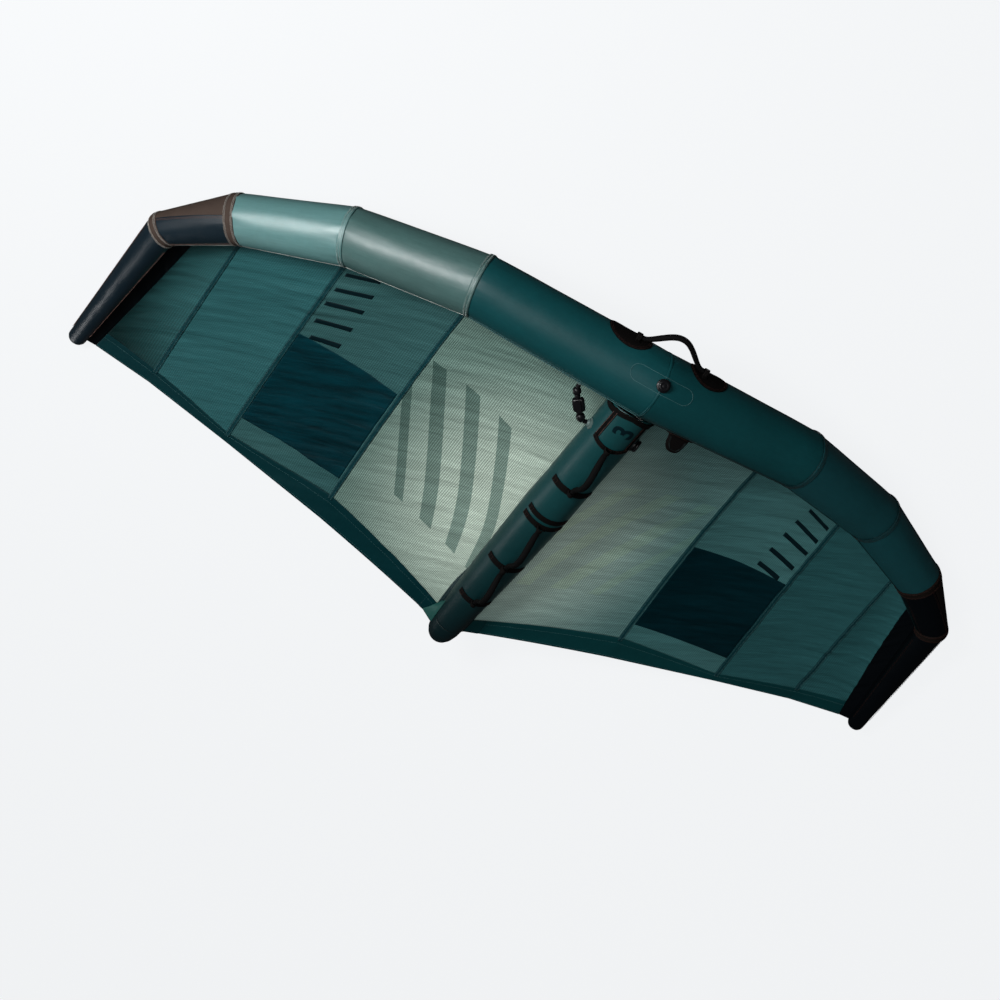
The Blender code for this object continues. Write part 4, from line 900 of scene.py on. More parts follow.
# Canopy: panels with tension wrinkles that run from the outer rear to the inner front
def wrinkles(point, side, along, place):
    """Height of the cloth's fine tension folds at a point of the right canopy."""
    slant = 0.40 if side > 0 else -0.20
    run = point.x * math.cos(slant) + point.y * math.sin(slant)
    across = -point.x * math.sin(slant) + point.y * math.cos(slant)
    fade = math.sin(math.pi * min(max(along, 0.0), 1.0)) ** 0.35
    folds = wave_noise(run * 5.0, across * 42.0, side * 9.0)
    broad = wave_noise(run * 2.6, across * 15.0, side * 5.0 + 3.0)
    patch = max(0.25, 0.6 + 0.9 * wave_noise(run * 3.1, across * 4.0, 12.0 * side))
    rib = place - round(place)
    pucker = math.exp(-abs(rib) / 0.05) * wave_noise(along * 70.0, rib * 6.0, side * 4.0)
    return (FINE_FOLD * folds * patch + BROAD_FOLD * broad * patch) * fade + RIB_PUCKER * pucker


def canopy_skin(along, place, side, lift):
    point = canopy_point(along, place)
    point.z = max(point.z + wrinkles(point, side, along, place), FLOOR_GAP) + lift
    return mirrored(point, side)


def declare_sheet(wide, long, area):
    """Works out how much larger than wide by long a flat sheet must be to cover the area of its surface; the
    result is not kept.
    """
    size = max(area / (wide * long), 1.0)


def panel_piece(name, side, places, shares, grid, surface, nodes=(), lift=0.0, wall=PANEL_WALL,
                rests_on=()):
    """Cloth between two ribs and two shares of the chord, which may depend on the place."""
    low, high = places

    def chord(place):
        return [share(place) if callable(share) else share for share in shares]

    def point_at(across, along):
        place = low + (high - low) * across
        start, stop = chord(place)
        return canopy_skin(start + (stop - start) * along, place, side, lift)

    middle = (low + high) / 2
    wide = (canopy_point(0.6, high) - canopy_point(0.6, low)).length
    start, stop = chord(middle)
    long = (canopy_point(stop, middle) - canopy_point(start, middle)).length
    bm = bent_grid(*grid, point_at, (wide, long))
    face_toward(bm)
    area = sum(face.calc_area() for face in bm.faces)
    made = settle(bm, name, surface, nodes, wall=wall)
    if rests_on:
        declare_sheet(wide, long, area)


canopy_cloth = {"left": (SAGE_LEFT, SEA_LEFT, SEA_OUTER, SEA_OUTER), "right": (SAGE, SEA, SEA_OUTER, DEEP)}
hem_cloth = {"left": HEM_LEFT, "right": HEM}
block_cloth = {"left": BLOCK_LEFT, "right": BLOCK}
canopy_columns = (120, 90, 70, 48)

for side_name, side in SIDES:
    for rank, panel_name in enumerate(section_names):
        inner = rank + (0.0006 if rank else ROOT_SHARE)
        panel_piece(f"cloth_panel_{panel_name}_{side_name}", side, (inner, rank + 0.9994),
                    (0.0, lambda place: band_start(place) - 0.0003), (canopy_columns[rank], 190),
                    canopy_cloth[side_name][rank], [f"canopy_{panel_name}_{side_name}"],
                    rests_on=[f"tube_cloth_{panel_name}_{side_name}"])

    def wedge_at(across, along):
        """Point of the tip panel, between the last rib and the tube it's sewn into."""
        along = 0.05 + 0.95 * along
        rib = mirrored(canopy_skin(along, 4.0 - ROOT_SHARE, side, -0.0009), side)
        tube = tube_point(3.6 + 1.4 * along, leading_angles[4] * (1 - 0.6 * along), -TIP_SEAM_DEPTH)
        return mirrored(rib.lerp(tube, across), side)

    bm = bent_grid(12, 80, wedge_at, (0.1, 0.6))
    face_toward(bm)
    area = sum(face.calc_area() for face in bm.faces)
    made = settle(bm, f"cloth_panel_tip_{side_name}", NAVY_DARK, [f"canopy_tip_{side_name}"],
                  wall=PATCH_WALL)
    declare_sheet(0.13, 0.62, area)

    panel_piece(f"trailing_edge_band_{side_name}", side, (ROOT_SHARE, 4.0 - ROOT_SHARE), (band_start, 1.0),
                (260, 16), hem_cloth[side_name], [f"trailing_edge_{side_name}"], 0.0002,
                0.0010, [f"cloth_panel_centre_{side_name}"])
    for rank, tape_name in enumerate(section_names[1:]):
        half = TAPE_WIDTH / 2 / (trail_points[rank + 1] - trail_points[rank]).length
        panel_piece(f"seam_cover_{tape_name}_{side_name}", side, (rank + 1 - half, rank + 1 + half),
                    (0.006, lambda place: band_start(place) + 0.012), (6, 150), TAPE,
                    [f"seam_tape_{tape_name}_{side_name}"], 0.0011, 0.0007)

# Plain dark block, a row of short bars and the panels' stitches
block_half = TAPE_WIDTH / 2 / 0.36
block_corners = (canopy_point(0.545, 1.0 + block_half), canopy_point(0.492, 2.0 - block_half))
BAR_HALF = 0.0088
short_bars = ((1.66, 1.945, 0.205, 0.02), (1.63, 1.945, 0.28, 0.01), (1.62, 1.945, 0.347, 0.0),
              (1.61, 1.93, 0.425, 0.01), (1.61, 1.88, 0.492, 0.008))


@lru_cache(None)
def block_front(place):
    """Share of the chord where a straight line between the block's front corners crosses."""
    line = block_corners[1] - block_corners[0]
    low_share, high_share = 0.30, 0.80
    for step in range(24):
        middle = (low_share + high_share) / 2
        away = canopy_point(middle, place) - block_corners[0]
        if line.x * away.y - line.y * away.x > 0.0:
            high_share = middle
        else:
            low_share = middle
    return middle


for side_name, side in SIDES:
    panel_piece(f"dark_block_{side_name}", side, (1.0 + block_half, 2.0 - block_half),
                (lambda place: block_front(round(place, 6)), lambda place: 0.852 + 0.020 * (place - 1.0)),
                (76, 80), block_cloth[side_name], (), 0.0006, 0.0004,
                [f"cloth_panel_inner_{side_name}"])
    for number, (low, high, share, slant) in enumerate(short_bars):
        def bar_edge(place, half):
            return share + half + slant * (place - (low + high) / 2)

        panel_piece(f"short_bar_{number + 1}_{side_name}", side, (low, high),
                    (lambda place: bar_edge(place, -BAR_HALF), lambda place: bar_edge(place, BAR_HALF)),
                    (24, 4), BAR_CLOTH, (), 0.0007, 0.0003)

    seams = Thread(f"canopy_stitches_{side_name}", THREAD_TEAL, FINE_THREAD)
    for rib in (1, 2, 3):
        wide = (trail_points[rib] - trail_points[rib - 1]).length
        for offset in (-0.0055, 0.0055):
            def seam_path(share, shift):
                place = rib + (offset + shift) / wide
                return canopy_skin(0.01 + share * band_start(rib), place, side, 0.0026)
            seams.zigzag(seam_path, 0.95, 0.003, 0.0055)
    seams.finish("deep_teal")
    hem = Thread(f"hem_stitches_{side_name}", THREAD_TEAL, FINE_THREAD)
    for depth in (0.25, 0.90):
        def hem_path(share, shift):
            place = ROOT_SHARE + (4.0 - 2 * ROOT_SHARE) * share
            start = band_start(place)
            return canopy_skin(start + (1.0 - start) * depth, place, side, 0.0012)
        hem.dashes(hem_path, 1.5, 0.005, 0.002)
    hem.finish("deep_teal")


# Webbing on the strut: frame round a bare panel, collar, straps with stitched ends
FRAME_TOP = 0.088
FRAME_BOTTOM = 0.220
FRAME_EDGE = 0.015
FRAME_ANGLE = 48.0
FRAME_SAG = 0.012
frame_rear = FRAME_BOTTOM - FRAME_EDGE - 0.010
frame_edge_angle = math.degrees(FRAME_EDGE / STRUT_RADIUS)
STRAP_WIDTH = 0.024
STRAP_ANGLE = 57.0
strap_place_shares = (0.3107, 0.4268, 0.6110, 0.7693)


def strut_patch(name, distances, angles, lift, wall, nodes=(), grid=(28, 12), sag=0.0):
    """Webbing on the strut between two distances and two angles; its middle may sag to the tail."""
    start, stop = distances
    low, high = angles

    def point_at(across, along):
        angle = low + (high - low) * across
        distance = start + (stop - start) * along + sag * (1.0 - (angle / FRAME_ANGLE) ** 2)
        return strut_point(distance, angle, strut_radius(distance) + lift)

    wide = math.radians(abs(high - low)) * STRUT_RADIUS
    bm = bent_grid(*grid, point_at, (wide, abs(stop - start)))
    face_toward(bm, strut_point(start, (low + high) / 2, 1.0) - strut_point(start, 0.0, 0.0))
    wear_edges(settle(bm, name, WEB, nodes, wall=wall, offset=1.0), wall * 0.35)


strut_patch("frame_strip_rear", (frame_rear, FRAME_BOTTOM - 0.010), (-FRAME_ANGLE, FRAME_ANGLE), 0.0018,
            0.0016, ["strut_front_frame"], sag=FRAME_SAG)
for side_name, side in SIDES:
    angles = sorted((side * FRAME_ANGLE, side * (FRAME_ANGLE - frame_edge_angle)))
    strut_patch(f"frame_strip_{side_name}", (FRAME_TOP, FRAME_BOTTOM - 0.008), angles, 0.0005, 0.0014)
    stitches = Thread(f"frame_stitches_{side_name}", THREAD_ROSE if side > 0 else THREAD_RED, SEWING_THREAD)
    for offset in (0.12, 0.88):
        turn = side * (FRAME_ANGLE - frame_edge_angle * offset)
        stitches.dashes(lambda share, shift: strut_point(FRAME_TOP + 0.004 + share * 0.118, turn,
                                                         strut_radius(0.15) + 0.0025), 0.12)
    stitches.finish("webbing")
stitches = Thread("frame_stitches_rear", THREAD_RED, FINE_THREAD)
for offset in (0.0025, FRAME_EDGE - 0.0025):
    stitches.dashes(lambda share, shift: strut_point(
        frame_rear + offset + FRAME_SAG * (1.0 - (share * 2 - 1) ** 2), FRAME_ANGLE * (share * 2 - 1),
        strut_radius(0.21) + 0.0040), 0.12)
stitches.finish("webbing")


def collar_point(across, along):
    """Collar that covers the joint of the strut and the leading edge."""
    angle = -88.0 + 176.0 * across
    turn = math.radians(angle)
    radius = strut_radius(0.09) + 0.0006
    up = radius * math.cos(turn)
    seat = math.sqrt(max((TUBE_RADIUS + 0.0010) ** 2 - (up * math.cos(strut_slope)) ** 2, 0.0))
    sweep = (station_centre(1).y - station_centre(0).y) / station_centre(1).x * abs(radius * math.sin(turn))
    distance = (seat + sweep + up * math.sin(strut_slope)) / math.cos(strut_slope)
    flare = 0.0039 * (1.0 - along) ** 2
    return strut_point(distance - 0.004 + 0.020 * along, angle, radius + flare + 0.0004)


bm = bent_grid(72, 8, collar_point, (0.22, 0.02))
face_toward(bm)
settle(bm, "strut_collar_band", WEB, wall=0.0018, offset=1.0)

for number, place_share in enumerate(strap_place_shares):
    place = place_share * strut_length
    bands = [(place - STRAP_WIDTH / 2, place + STRAP_WIDTH / 2)]
    if number == 1:
        bands = [(place - 0.026, place - 0.006), (place + 0.006, place + 0.026)]
    stitches = Thread(f"strap_{number + 1}_stitches", THREAD_RED, SEWING_THREAD)
    for part, band in enumerate(bands):
        strut_patch(f"strap_{number + 1}_band_{part + 1}", band, (-STRAP_ANGLE, STRAP_ANGLE), 0.0005, 0.0018,
                    [f"strut_strap_{number + 1}"], (40, 6))
        middle = sum(band) / 2
        for end in (-1, 1):
            for offset in (middle - 0.007, middle + 0.007):
                stitches.dashes(lambda share, shift: strut_point(
                    offset, end * (56.0 - 16.0 * share), strut_radius(offset) + 0.0027), 0.020)
            for turn in (56.0, 49.0, 41.0):
                stitches.line([strut_point(middle + shift, end * turn, strut_radius(middle) + 0.0027)
                               for shift in (-0.0075, 0.0, 0.0075)])
    stitches.finish("webbing")


# Padded handles: soft oval sections along an arch, with a piped seam on each side
EDGE_HANDLE_RADIUS = 0.008
ROUTE_STEPS = 40


def arch_route(first, last, rise, height, radius):
    line = (last - first).normalized()
    inner_first = first + line * radius
    inner_last = last - line * radius
    points = [first, first.lerp(inner_first, 0.5)]
    for step in range(ROUTE_STEPS + 1):
        share = step / ROUTE_STEPS
        lift = rise * (height * math.sin(math.pi * share) ** 1.5)
        points.append(inner_first.lerp(inner_last, share) + lift)
    return points + [last.lerp(inner_last, 0.5), last]


def padded_bar(name, route, rise, wide, deep, body, nodes):
    """Padded webbing handle: crowned oval section that narrows into its sewn ends."""
    lengths = [0.0]
    for here, there in zip(route, route[1:]):
        lengths.append(lengths[-1] + (there - here).length)
    total = lengths[-1]

    def at(share):
        target = share * total
        for (l0, l1), here, there in zip(zip(lengths, lengths[1:]), route, route[1:]):
            if target <= l1 or there is route[-1]:
                return here.lerp(there, min((target - l0) / max(l1 - l0, 1e-9), 1.0))

    def frame_at(share):
        ahead = (at(min(share + 0.01, 1.0)) - at(max(share - 0.01, 0.0))).normalized()
        side_way = ahead.cross(rise).normalized()
        return side_way, side_way.cross(ahead).normalized()

    def size_at(share):
        end = min(share, 1.0 - share) * total
        return min(1.0, 0.76 + end / 0.05 * 0.24) * (1.0 if end > 0.0005 else 0.94)

    def point_at(across, along):
        turn = math.tau * across
        side_way, out = frame_at(along)
        size = size_at(along)
        quilt = 1.0 + 0.035 * wave_noise(math.cos(turn) * 2.0, math.sin(turn) * 2.0, along * 22.0)
        x = crowned(math.cos(turn), 0.80) * wide * size * quilt
        y = crowned(math.sin(turn), 0.90) * deep * size * quilt
        return at(along) + side_way * x + out * y

    bm = bent_grid(32, 110, point_at, (math.tau * deep, total), closed=True)
    fill_holes(bm)
    made = settle(bm, name, PAD, nodes, body)
    for number, hand in enumerate((-1, 1)):
        shares = [0.06 + 0.88 * step / 59 for step in range(60)]
        line = [at(share) + frame_at(share)[0] * (hand * wide * size_at(share) * 0.99) for share in shares]
        round_line(f"{name}_edge_{number + 1}", line, 0.0011, WEB, "webbing", body)


def sewn_keeper(name, tip, away, up, radius):
    """Webbing fold that is sewn over the end of a handle."""
    away = away.normalized()
    side_way = away.cross(up).normalized()
    out = side_way.cross(away).normalized()
    reach = radius + 0.0007

    def point_at(across, along):
        share = across * 2 - 1
        turn = share * math.radians(118)
        x = math.sin(turn) * reach
        y = math.cos(turn) * reach
        if abs(share) > 0.78:
            x = math.copysign(abs(x) + (abs(share) - 0.78) / 0.22 * 0.010, share)
            y = -reach * 0.86 - HANDLE_GAP
        return tip + away * (0.0004 + 0.013 * along) + side_way * x + out * y

    settle(bent_grid(40, 6, point_at, (0.05, 0.013)), name, WEB, wall=0.0012, offset=0.0)


def facet(half_angle):
    """How much nearer than its corners the model's strap of this half angle lies between them."""
    return math.cos(math.pi / (16 * 180.0 / half_angle))


def handle_line(distance):
    """Point on the hinge line of a strut handle, above the webbing on the strut's top."""
    radius = (strut_radius(distance) + SEAM_GAP) / facet(STRAP_ANGLE) + WEBBING_THICKNESS
    return strut_point(distance, 0.0, radius + HANDLE_GAP + HANDLE_RADIUS)


strut_up = (strut_place.to_3x3() @ Vector((0.0, -1.0, 0.0))).normalized()
handle_spans = (("front", 0.220, 0.408), ("middle", 0.603, 0.814), ("rear", 0.838, 1.028))
for handle_name, start, stop in handle_spans:
    first, last = handle_line(start), handle_line(stop)
    line = (last - first).normalized()
    route = arch_route(first, last, strut_up, HANDLE_HEIGHT, HANDLE_RADIUS)
    padded_bar(f"padded_handle_{handle_name}", route, strut_up, 0.0088, 0.0068,
               f"strut_handle_{handle_name}_swing", [f"strut_handle_{handle_name}"])
    sewn_keeper(f"keeper_{handle_name}_1", first, -line, strut_up, HANDLE_RADIUS)
    sewn_keeper(f"keeper_{handle_name}_2", last, line, strut_up, HANDLE_RADIUS)


# Leading edge handle, its oval patches, and the leash tab
centre_length = (station_centre(1) - station_centre(0)).length


def oval_patch(name, side, distance, length, half_angle, middle, clearance, wall, nodes):
    """Oval of webbing on a centre sleeve; middle counts from the back over the top."""
    def oval(turn, reach, lift):
        place = (distance + math.cos(turn) * reach * length / 2) / centre_length * side
        return tube_point(place, middle + math.sin(turn) * reach * half_angle, lift)

    bm = bent_grid(64, 10, lambda across, along: oval(math.tau * across, 0.02 + 0.98 * along, clearance),
                   (length, half_angle * 0.0016), closed=True)
    fill_holes(bm, length * 0.01)
    bmesh.ops.recalc_face_normals(bm, faces=bm.faces[:])
    heart = distance / centre_length * side
    face_toward(bm, tube_point(heart, middle, 1.0) - tube_point(heart, middle, 0.0))
    wear_edges(settle(bm, name, WEB, nodes, wall=wall, offset=1.0), wall * 0.4)
    rim = Thread(f"{name}_stitches", THREAD_RED, SEWING_THREAD)
    for inset in (0.93, 0.86):
        rim.dashes(lambda share, shift: oval(math.tau * share, inset, clearance + wall + 0.0004), 0.3)
    rim.finish("webbing")


def tube_handle_ends(side_distances, radius, middle, half_angle):
    """Ends of a bar that stands off the tube, as the model has them."""
    ends = []
    turn = math.radians(middle)
    for side, distance in side_distances:
        start, stop = station_centre(0), station_centre(side)
        origin = start + (stop - start).normalized() * distance
        axis = ((stop - start) * side).normalized()
        up = Vector((0.0, 0.0, 1.0))
        y_axis = (up.project(axis) - up).normalized()
        x_axis = y_axis.cross(axis)
        tube = station_radius(0) + (station_radius(1) - station_radius(0)) * distance / centre_length
        reach = (tube + 2 * SEAM_GAP) / facet(half_angle) + WEBBING_THICKNESS + HANDLE_GAP + radius
        ends.append(origin + x_axis * (reach * math.sin(turn)) - y_axis * (reach * math.cos(turn)))
    line = (ends[1] - ends[0]).normalized()
    rise = Vector((0.0, -math.sin(turn), math.cos(turn)))
    return *ends, line, (rise - line * rise.dot(line)).normalized()


for side_name, side in SIDES:
    oval_patch(f"handle_patch_{side_name}", side, 0.118, 0.120, 33.0, 189.0, 0.0017, 0.0013,
               [f"le_handle_patch_{side_name}"])
first, last, line, rise = tube_handle_ends(((-1, 0.087), (1, 0.087)), EDGE_HANDLE_RADIUS, 93.0, 34.0)
route = arch_route(first, last, rise, EDGE_HANDLE_HEIGHT, EDGE_HANDLE_RADIUS)
padded_bar("padded_handle_edge", route, rise, 0.0092, 0.0070, "le_handle_swing", ["le_handle"])
sewn_keeper("keeper_edge_1", first, -line, rise, EDGE_HANDLE_RADIUS)
sewn_keeper("keeper_edge_2", last, line, rise, EDGE_HANDLE_RADIUS)

oval_patch("leash_oval", -1, 0.150, 0.088, 20.0, 24.0, 0.0020, 0.0020, ["leash_patch"])
TAB_LENGTH = 0.052
first, last, line, rise = tube_handle_ends(((-1, 0.171), (-1, 0.129)), 0.006, -66.0, 20.0)
tab_middle = (first + last) / 2 - rise * 0.010
tab_deep = line.cross(rise).normalized()


def leash_tab_at(across, along):
    """Flat folded loop of webbing with a rounded end, thick in its middle."""
    turn = math.tau * across
    close = math.sqrt(max(1.0 - max(along - 0.55, 0.0) ** 2 / 0.45 ** 2, 0.0))
    wide = (0.034 - 0.010 * along) * (0.30 + 0.70 * close if along < 0.999 else 0.28)
    deep = 0.0052 * (0.35 + 0.65 * close)
    wave = 1.0 + 0.05 * wave_noise(math.cos(turn) * 2.0, math.sin(turn) * 2.0, along * 5.0)
    x = crowned(math.cos(turn), 0.55) * wide * wave
    y = crowned(math.sin(turn), 0.80) * deep * wave
    return tab_middle + rise * (TAB_LENGTH * along) + line * x + tab_deep * y


bm = bent_grid(56, 30, leash_tab_at, (0.14, TAB_LENGTH), closed=True)
fill_holes(bm)
bmesh.ops.recalc_face_normals(bm, faces=bm.faces[:])
leash_tab = settle(bm, "leash_tab", WEB, ["leash_loop"])
tab_rim = Thread("leash_tab_stitches", THREAD_DARK, FINE_THREAD)
tab_outline = ((-1, 0.25), (-1, 0.55), (-0.5, 0.85), (0.5, 0.85), (1, 0.55), (1, 0.25))
for inset in (0.72, 0.80):
    tab_rim.line([tab_middle + rise * (TAB_LENGTH * share) + line * (inset * hand * (0.034 - 0.010 * share))
                  + tab_deep * 0.0058 for hand, share in tab_outline])
tab_rim.finish("webbing")

# Plain numeral on the bare panel of the strut's frame, cut fine enough to bend round it
numeral = bpy.data.curves.new("size_numeral", "FONT")
numeral.body = "3"
numeral.size = 0.082
numeral.offset = 0.0018
numeral.align_x = "CENTER"
numeral.align_y = "CENTER"
helper = add_object("size_numeral_shape", numeral)
bpy.context.view_layer.update()
flat = bpy.data.meshes.new_from_object(helper)
bpy.data.objects.remove(helper, do_unlink=True)
bm = bmesh.new()
bm.from_mesh(flat)
for cut in range(-8, 9):
    for normal in (Vector((1.0, 0.0, 0.0)), Vector((0.0, 1.0, 0.0))):
        bmesh.ops.bisect_plane(bm, geom=bm.verts[:] + bm.edges[:] + bm.faces[:],
                               plane_co=normal * (cut * 0.004), plane_no=normal)
for vert in bm.verts:
    distance = 0.138 - vert.co.x
    angle = math.degrees(vert.co.y / STRUT_RADIUS) - 5.0
    vert.co = strut_point(distance, angle, strut_radius(distance) + 0.0011)
bmesh.ops.recalc_face_normals(bm, faces=bm.faces[:])
face_toward(bm)
settle(bm, "size_numeral", BAR_CLOTH, wall=0.0004, offset=1.0, smooth=False)

# Thin line round the valve on the leading edge: straight sides and round ends
VALVE_ANGLE = 126.7
outline_run, outline_half, outline_end = 0.066, 14.0, 0.022
corners = [(outline_run * (1.0 - step / 6.0), outline_half) for step in range(12)]
for step in range(12):
    turn = math.pi * step / 12.0
    corners.append((-outline_run - outline_end * math.sin(turn), outline_half * math.cos(turn)))
corners += [(-run, -angle) for run, angle in corners] + corners[:1]
outline = Thread("valve_outline", THREAD_TEAL, BOLD_THREAD)
outline.line([tube_point(run / centre_length, VALVE_ANGLE + angle, 0.0022) for run, angle in corners])
outline.finish("teal_dacron")

# Moulded parts keep the model's shapes
plastic_nodes = ("le_valve_base", "le_valve_cap", "strut_valve_base", "strut_valve_cap", "clip_lever")
for surface, node_names in ((PLASTIC, plastic_nodes), (RUBBER, ("hose_port_le", "hose_port_strut"))):
    for node_name in node_names:
        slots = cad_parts[node_name].data.materials
        slots.clear()
        slots.append(surface)

VALVE_STAND = 0.006
CAP_THICKNESS = 0.005
CAP_RADIUS = 0.0175
GRIP_RIBS = 24
DOME_STEPS = 96
dome_profile = ((0.0, 0.0042), (0.30, 0.0040), (0.42, 0.0030), (0.52, 0.0030), (0.64, 0.0040), (0.86, 0.0036),
                (0.97, 0.0022), (1.02, 0.0004), (1.02, -0.0022), (0.96, -0.0028))


def cap_dome(name, origin, out, near, size, body):
    """Shallow dome with a ribbed grip ring on a valve's cap; out of the cloth, its Y near to a direction."""
    out, near = Vector(out), Vector(near)
    y_axis = (near - out * out.dot(near)).normalized()
    place = Matrix((y_axis.cross(out), y_axis, out)).transposed().to_4x4()
    place.translation = origin
    base = VALVE_STAND * size + 0.0003 + CAP_THICKNESS * size * 0.7
    edge = CAP_RADIUS * size
    bm = bmesh.new()
    verts = [bm.verts.new((share * edge, 0.0, base + height)) for share, height in dome_profile]
    edges = [bm.edges.new(pair) for pair in zip(verts, verts[1:])]
    bmesh.ops.spin(bm, geom=verts + edges, cent=(0.0, 0.0, 0.0), axis=(0.0, 0.0, 1.0), dvec=(0.0, 0.0, 0.0),
                   angle=math.tau, steps=DOME_STEPS, use_merge=True)
    bmesh.ops.remove_doubles(bm, verts=bm.verts[:], dist=1e-6)
    for vert in bm.verts:
        if math.hypot(vert.co.x, vert.co.y) > edge * 0.9:
            rib = 1.0 + 0.022 * math.cos(GRIP_RIBS * math.atan2(vert.co.y, vert.co.x))
            vert.co.x *= rib
            vert.co.y *= rib
    bmesh.ops.recalc_face_normals(bm, faces=bm.faces[:])
    settle(bm, name, PLASTIC, body=body, place=place)


cap_dome("le_valve_dome", (0.0, -0.047575, 0.398193), (0.0, -0.59797, 0.801519), (0.0, -1.0, 0.0), 0.82,
         "le_valve_cap_turn")
cap_dome("strut_valve_dome", (-0.064605, 0.207294, 0.316923), (-0.961262, 0.034051, 0.273526),
         (0.0, 0.0, 1.0), 1.0, "strut_valve_cap_turn")

# Transfer hose between its two ports, its ball fittings and the rounded clip
HOSE_RADIUS = 0.0065
hose_points = [Vector(point) for point in (
    (0.155264, 0.124647, 0.306736), (0.155056, 0.127843, 0.307289), (0.154557, 0.132279, 0.308020),
    (0.153648, 0.136567, 0.308652), (0.152329, 0.140706, 0.309187), (0.150599, 0.144698, 0.309622),
    (0.148459, 0.148542, 0.309960), (0.145909, 0.152238, 0.310199), (0.131737, 0.170866, 0.311177),
    (0.117565, 0.189493, 0.312155), (0.103394, 0.208120, 0.313132), (0.100491, 0.211432, 0.313241),
    (0.097296, 0.214124, 0.313186), (0.093806, 0.216196, 0.312968), (0.090024, 0.217648, 0.312586),
    (0.085948, 0.218479, 0.312041), (0.081578, 0.218691, 0.311332), (0.078377, 0.218621, 0.310772))]
hose = round_line("transfer_hose_tube", hose_points, HOSE_RADIUS, HOSE, "hose", resolution=6,
                  nodes=["transfer_hose"])
hose_length = sum((there - here).length for here, there in zip(hose_points, hose_points[1:]))


def hose_at(share):
    """Point of the hose at a share of its length, and the direction there."""
    target = share * hose_length
    for here, there in zip(hose_points, hose_points[1:]):
        step = (there - here).length
        if target <= step or there is hose_points[-1]:
            return here.lerp(there, min(target / step, 1.0)), (there - here).normalized()
        target -= step


def hose_fitting(name, start, stop, swell):
    """Round fitting threaded on the hose between two shares of its length."""
    def point_at(across, along):
        centre, ahead = hose_at(start + (stop - start) * along)
        side_way = ahead.cross(Vector((0.0, 0.0, 1.0))).normalized()
        out = side_way.cross(ahead)
        turn = math.tau * across
        radius = HOSE_RADIUS + 0.0004 + swell * math.sqrt(max(1.0 - (2.0 * along - 1.0) ** 2, 0.0))
        return centre + (side_way * math.cos(turn) + out * math.sin(turn)) * radius

    bm = bent_grid(40, 24, point_at, (0.05, 0.02), closed=True)
    return settle(bm, name, PLASTIC, wall=0.0006)


fittings = [hose_fitting("hose_ball_front", 0.10, 0.25, 0.0048),
            hose_fitting("hose_ball_rear", 0.73, 0.90, 0.0058),
            hose_fitting("hose_neck_front", 0.25, 0.33, 0.0012),
            hose_fitting("hose_neck_rear", 0.67, 0.73, 0.0012)]
clip_matrix = Matrix(((0.795857, -0.025271, -0.604958, 0.124651), (0.605485, 0.033216, 0.795163, 0.180179),
                      (0.0, -0.999129, 0.041737, 0.311666), (0.0, 0.0, 0.0, 1.0)))
bm = bmesh.new()
bmesh.ops.create_cube(bm, size=1.0)
bmesh.ops.scale(bm, vec=(0.0330, 0.0206, 0.0410), verts=bm.verts[:])
bmesh.ops.bevel(bm, geom=bm.edges[:], offset=0.0074, segments=5, profile=0.5, affect="EDGES", material=-1)
clip_shell = settle(bm, "clip_shell", PLASTIC, ["clip_body"], place=clip_matrix)
fittings + [clip_shell, "clip_lever", "hose_port_strut"]


# Gussets between the strut's tail and the canopy, and the strips that close the strut's sides
def strip_at(across, along):
    share = 0.62 + 0.38 * along
    distance = root_distance(share)
    wall = strut_point(distance, root_angle(share) - 7.0, strut_radius(distance) + 0.0002)
    return wall.lerp(canopy_skin(share, 0.030, 1, 0.0014), across)


def gusset_at(across, along):
    distance = root_distance(0.895 + 0.104 * along)
    wall = strut_point(distance, 80.0 - 6.0 * along, strut_radius(distance) + 0.0009)
    cloth = canopy_skin(0.925 + 0.073 * along, 0.012 + 0.085 * along, 1, 0.0026)
    return wall.lerp(cloth, across) + Vector((0.0, 0.0, 0.002 * math.sin(math.pi * across) * (1 - along)))


def corner_at(across, along):
    place = ROOT_SHARE + 0.125 * across
    start = band_start(place)
    return canopy_point(start + (1.0 - start) * along, place) + Vector((0.0, 0.0, 0.0016))


for side_name, side in SIDES:
    tail_pieces = [("root_strip", strip_at, (0.02, 0.5), STRUT_TEAL, (), 70),
                   ("corner_patch", corner_at, (0.06, 0.03), hem_cloth[side_name],
                    (f"tail_patch_{side_name}",), 8)]
    if side > 0:
        tail_pieces.append(("tail_gusset", gusset_at, (0.08, 0.13), GREEN, (), 24))
    for piece_name, shape, size, cloth, nodes, rows in tail_pieces:
        bm = bent_grid(14, rows, lambda across, along: mirrored(shape(across, along), side), size)
        face_toward(bm)
        settle(bm, f"{piece_name}_{side_name}", cloth, nodes, wall=PATCH_WALL)

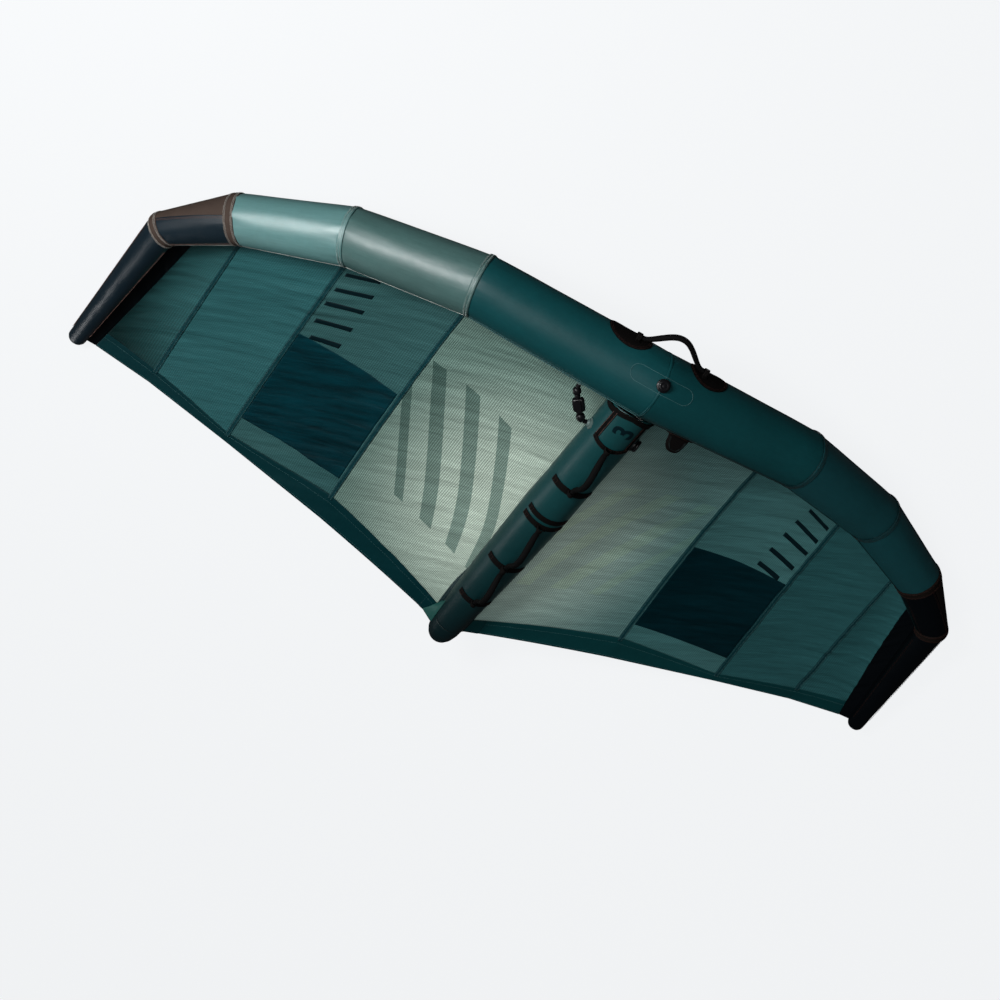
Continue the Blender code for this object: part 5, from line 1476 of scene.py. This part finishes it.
# Stage, lights and camera
floor_mesh = bpy.data.meshes.new("floor")
bm = bmesh.new()
bmesh.ops.create_grid(bm, x_segments=2, y_segments=2, size=30.0)
bm.to_mesh(floor_mesh)
bm.free()
floor = add_object("floor", floor_mesh)
floor.location.z = -0.0002
floor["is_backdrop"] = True
paper = bpy.data.materials.new("pale_floor")
paper.use_nodes = True
m = Maker(paper.node_tree)
paper_inputs = paper.node_tree.nodes["Principled BSDF"].inputs
m.feed(paper_inputs["Base Color"], (0.06, 0.062, 0.063))
m.feed(paper_inputs["Roughness"], 1.0)
m.feed(paper_inputs["Specular IOR Level"], 0.0)
m.feed(paper_inputs["Emission Color"], (0.97, 0.985, 1.0))
seen = m.node("LightPath", {}).outputs["Is Camera Ray"]
m.feed(paper_inputs["Emission Strength"], m.math("MULTIPLY", seen, 0.875))
floor_mesh.materials.append(paper)

world = bpy.data.worlds.new("studio")
bpy.context.scene.world = world
world.use_nodes = True
m = Maker(world.node_tree)
back = world.node_tree.nodes["Background"].inputs
rays = m.node("LightPath", {}).outputs
m.feed(back["Color"], (0.90, 0.92, 0.94))
ambient = m.mix(rays["Is Glossy Ray"], (0.16, 0.16, 0.16), (0.05, 0.05, 0.05))
m.feed(back["Strength"], m.mix(rays["Is Camera Ray"], ambient, (1.0, 1.0, 1.0)))


def aim(made, place, target):
    made.rotation_euler = (Vector(target) - Vector(place)).to_track_quat("-Z", "Y").to_euler()


def area_light(name, place, target, size, power, diffuse=False):
    """Softbox of two sizes; without diffuse it shows only as gloss."""
    lamp = bpy.data.lights.new(name, "AREA")
    lamp.shape = "RECTANGLE"
    lamp.size, lamp.size_y = size
    lamp.energy = power
    made = add_object(name, lamp)
    made.location = place
    made.visible_diffuse = diffuse
    aim(made, place, target)


area_light("key_softbox", (2.5, -1.7, 2.4), (0.4, -0.2, 0.1), (1.5, 0.6), 120.0, True)
area_light("gloss_softbox", (3.2, -1.65, 1.9), (0.9, -0.4, 0.15), (1.0, 0.8), 45.0)
area_light("side_softbox", (2.3, 2.0, 0.8), (0.1, 0.2, 0.25), (0.9, 0.5), 15.0)
sun = bpy.data.lights.new("soft_sun", "SUN")
sun.energy = 0.6
sun.angle = 0.5
aim(add_object("soft_sun", sun), (1.0, -0.6, 2.6), (0.0, 0.0, 0.0))

eye = bpy.data.cameras.new("photo_camera")
eye.lens = 50.4
eye.sensor_width = 36.0
camera = add_object("photo_camera", eye)
camera_axes = Matrix(((-0.87286, -0.46807, -0.13791), (0.44020, -0.63337, -0.63645),
                      (0.21056, -0.61624, 0.75889)))
view = camera_axes.transposed().to_4x4()
view.translation = Vector((0.9758, -2.450581, 3.3148))
camera.matrix_world = view
bpy.context.scene.camera = camera
bpy.context.scene.view_settings.view_transform = "Standard"

low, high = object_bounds()
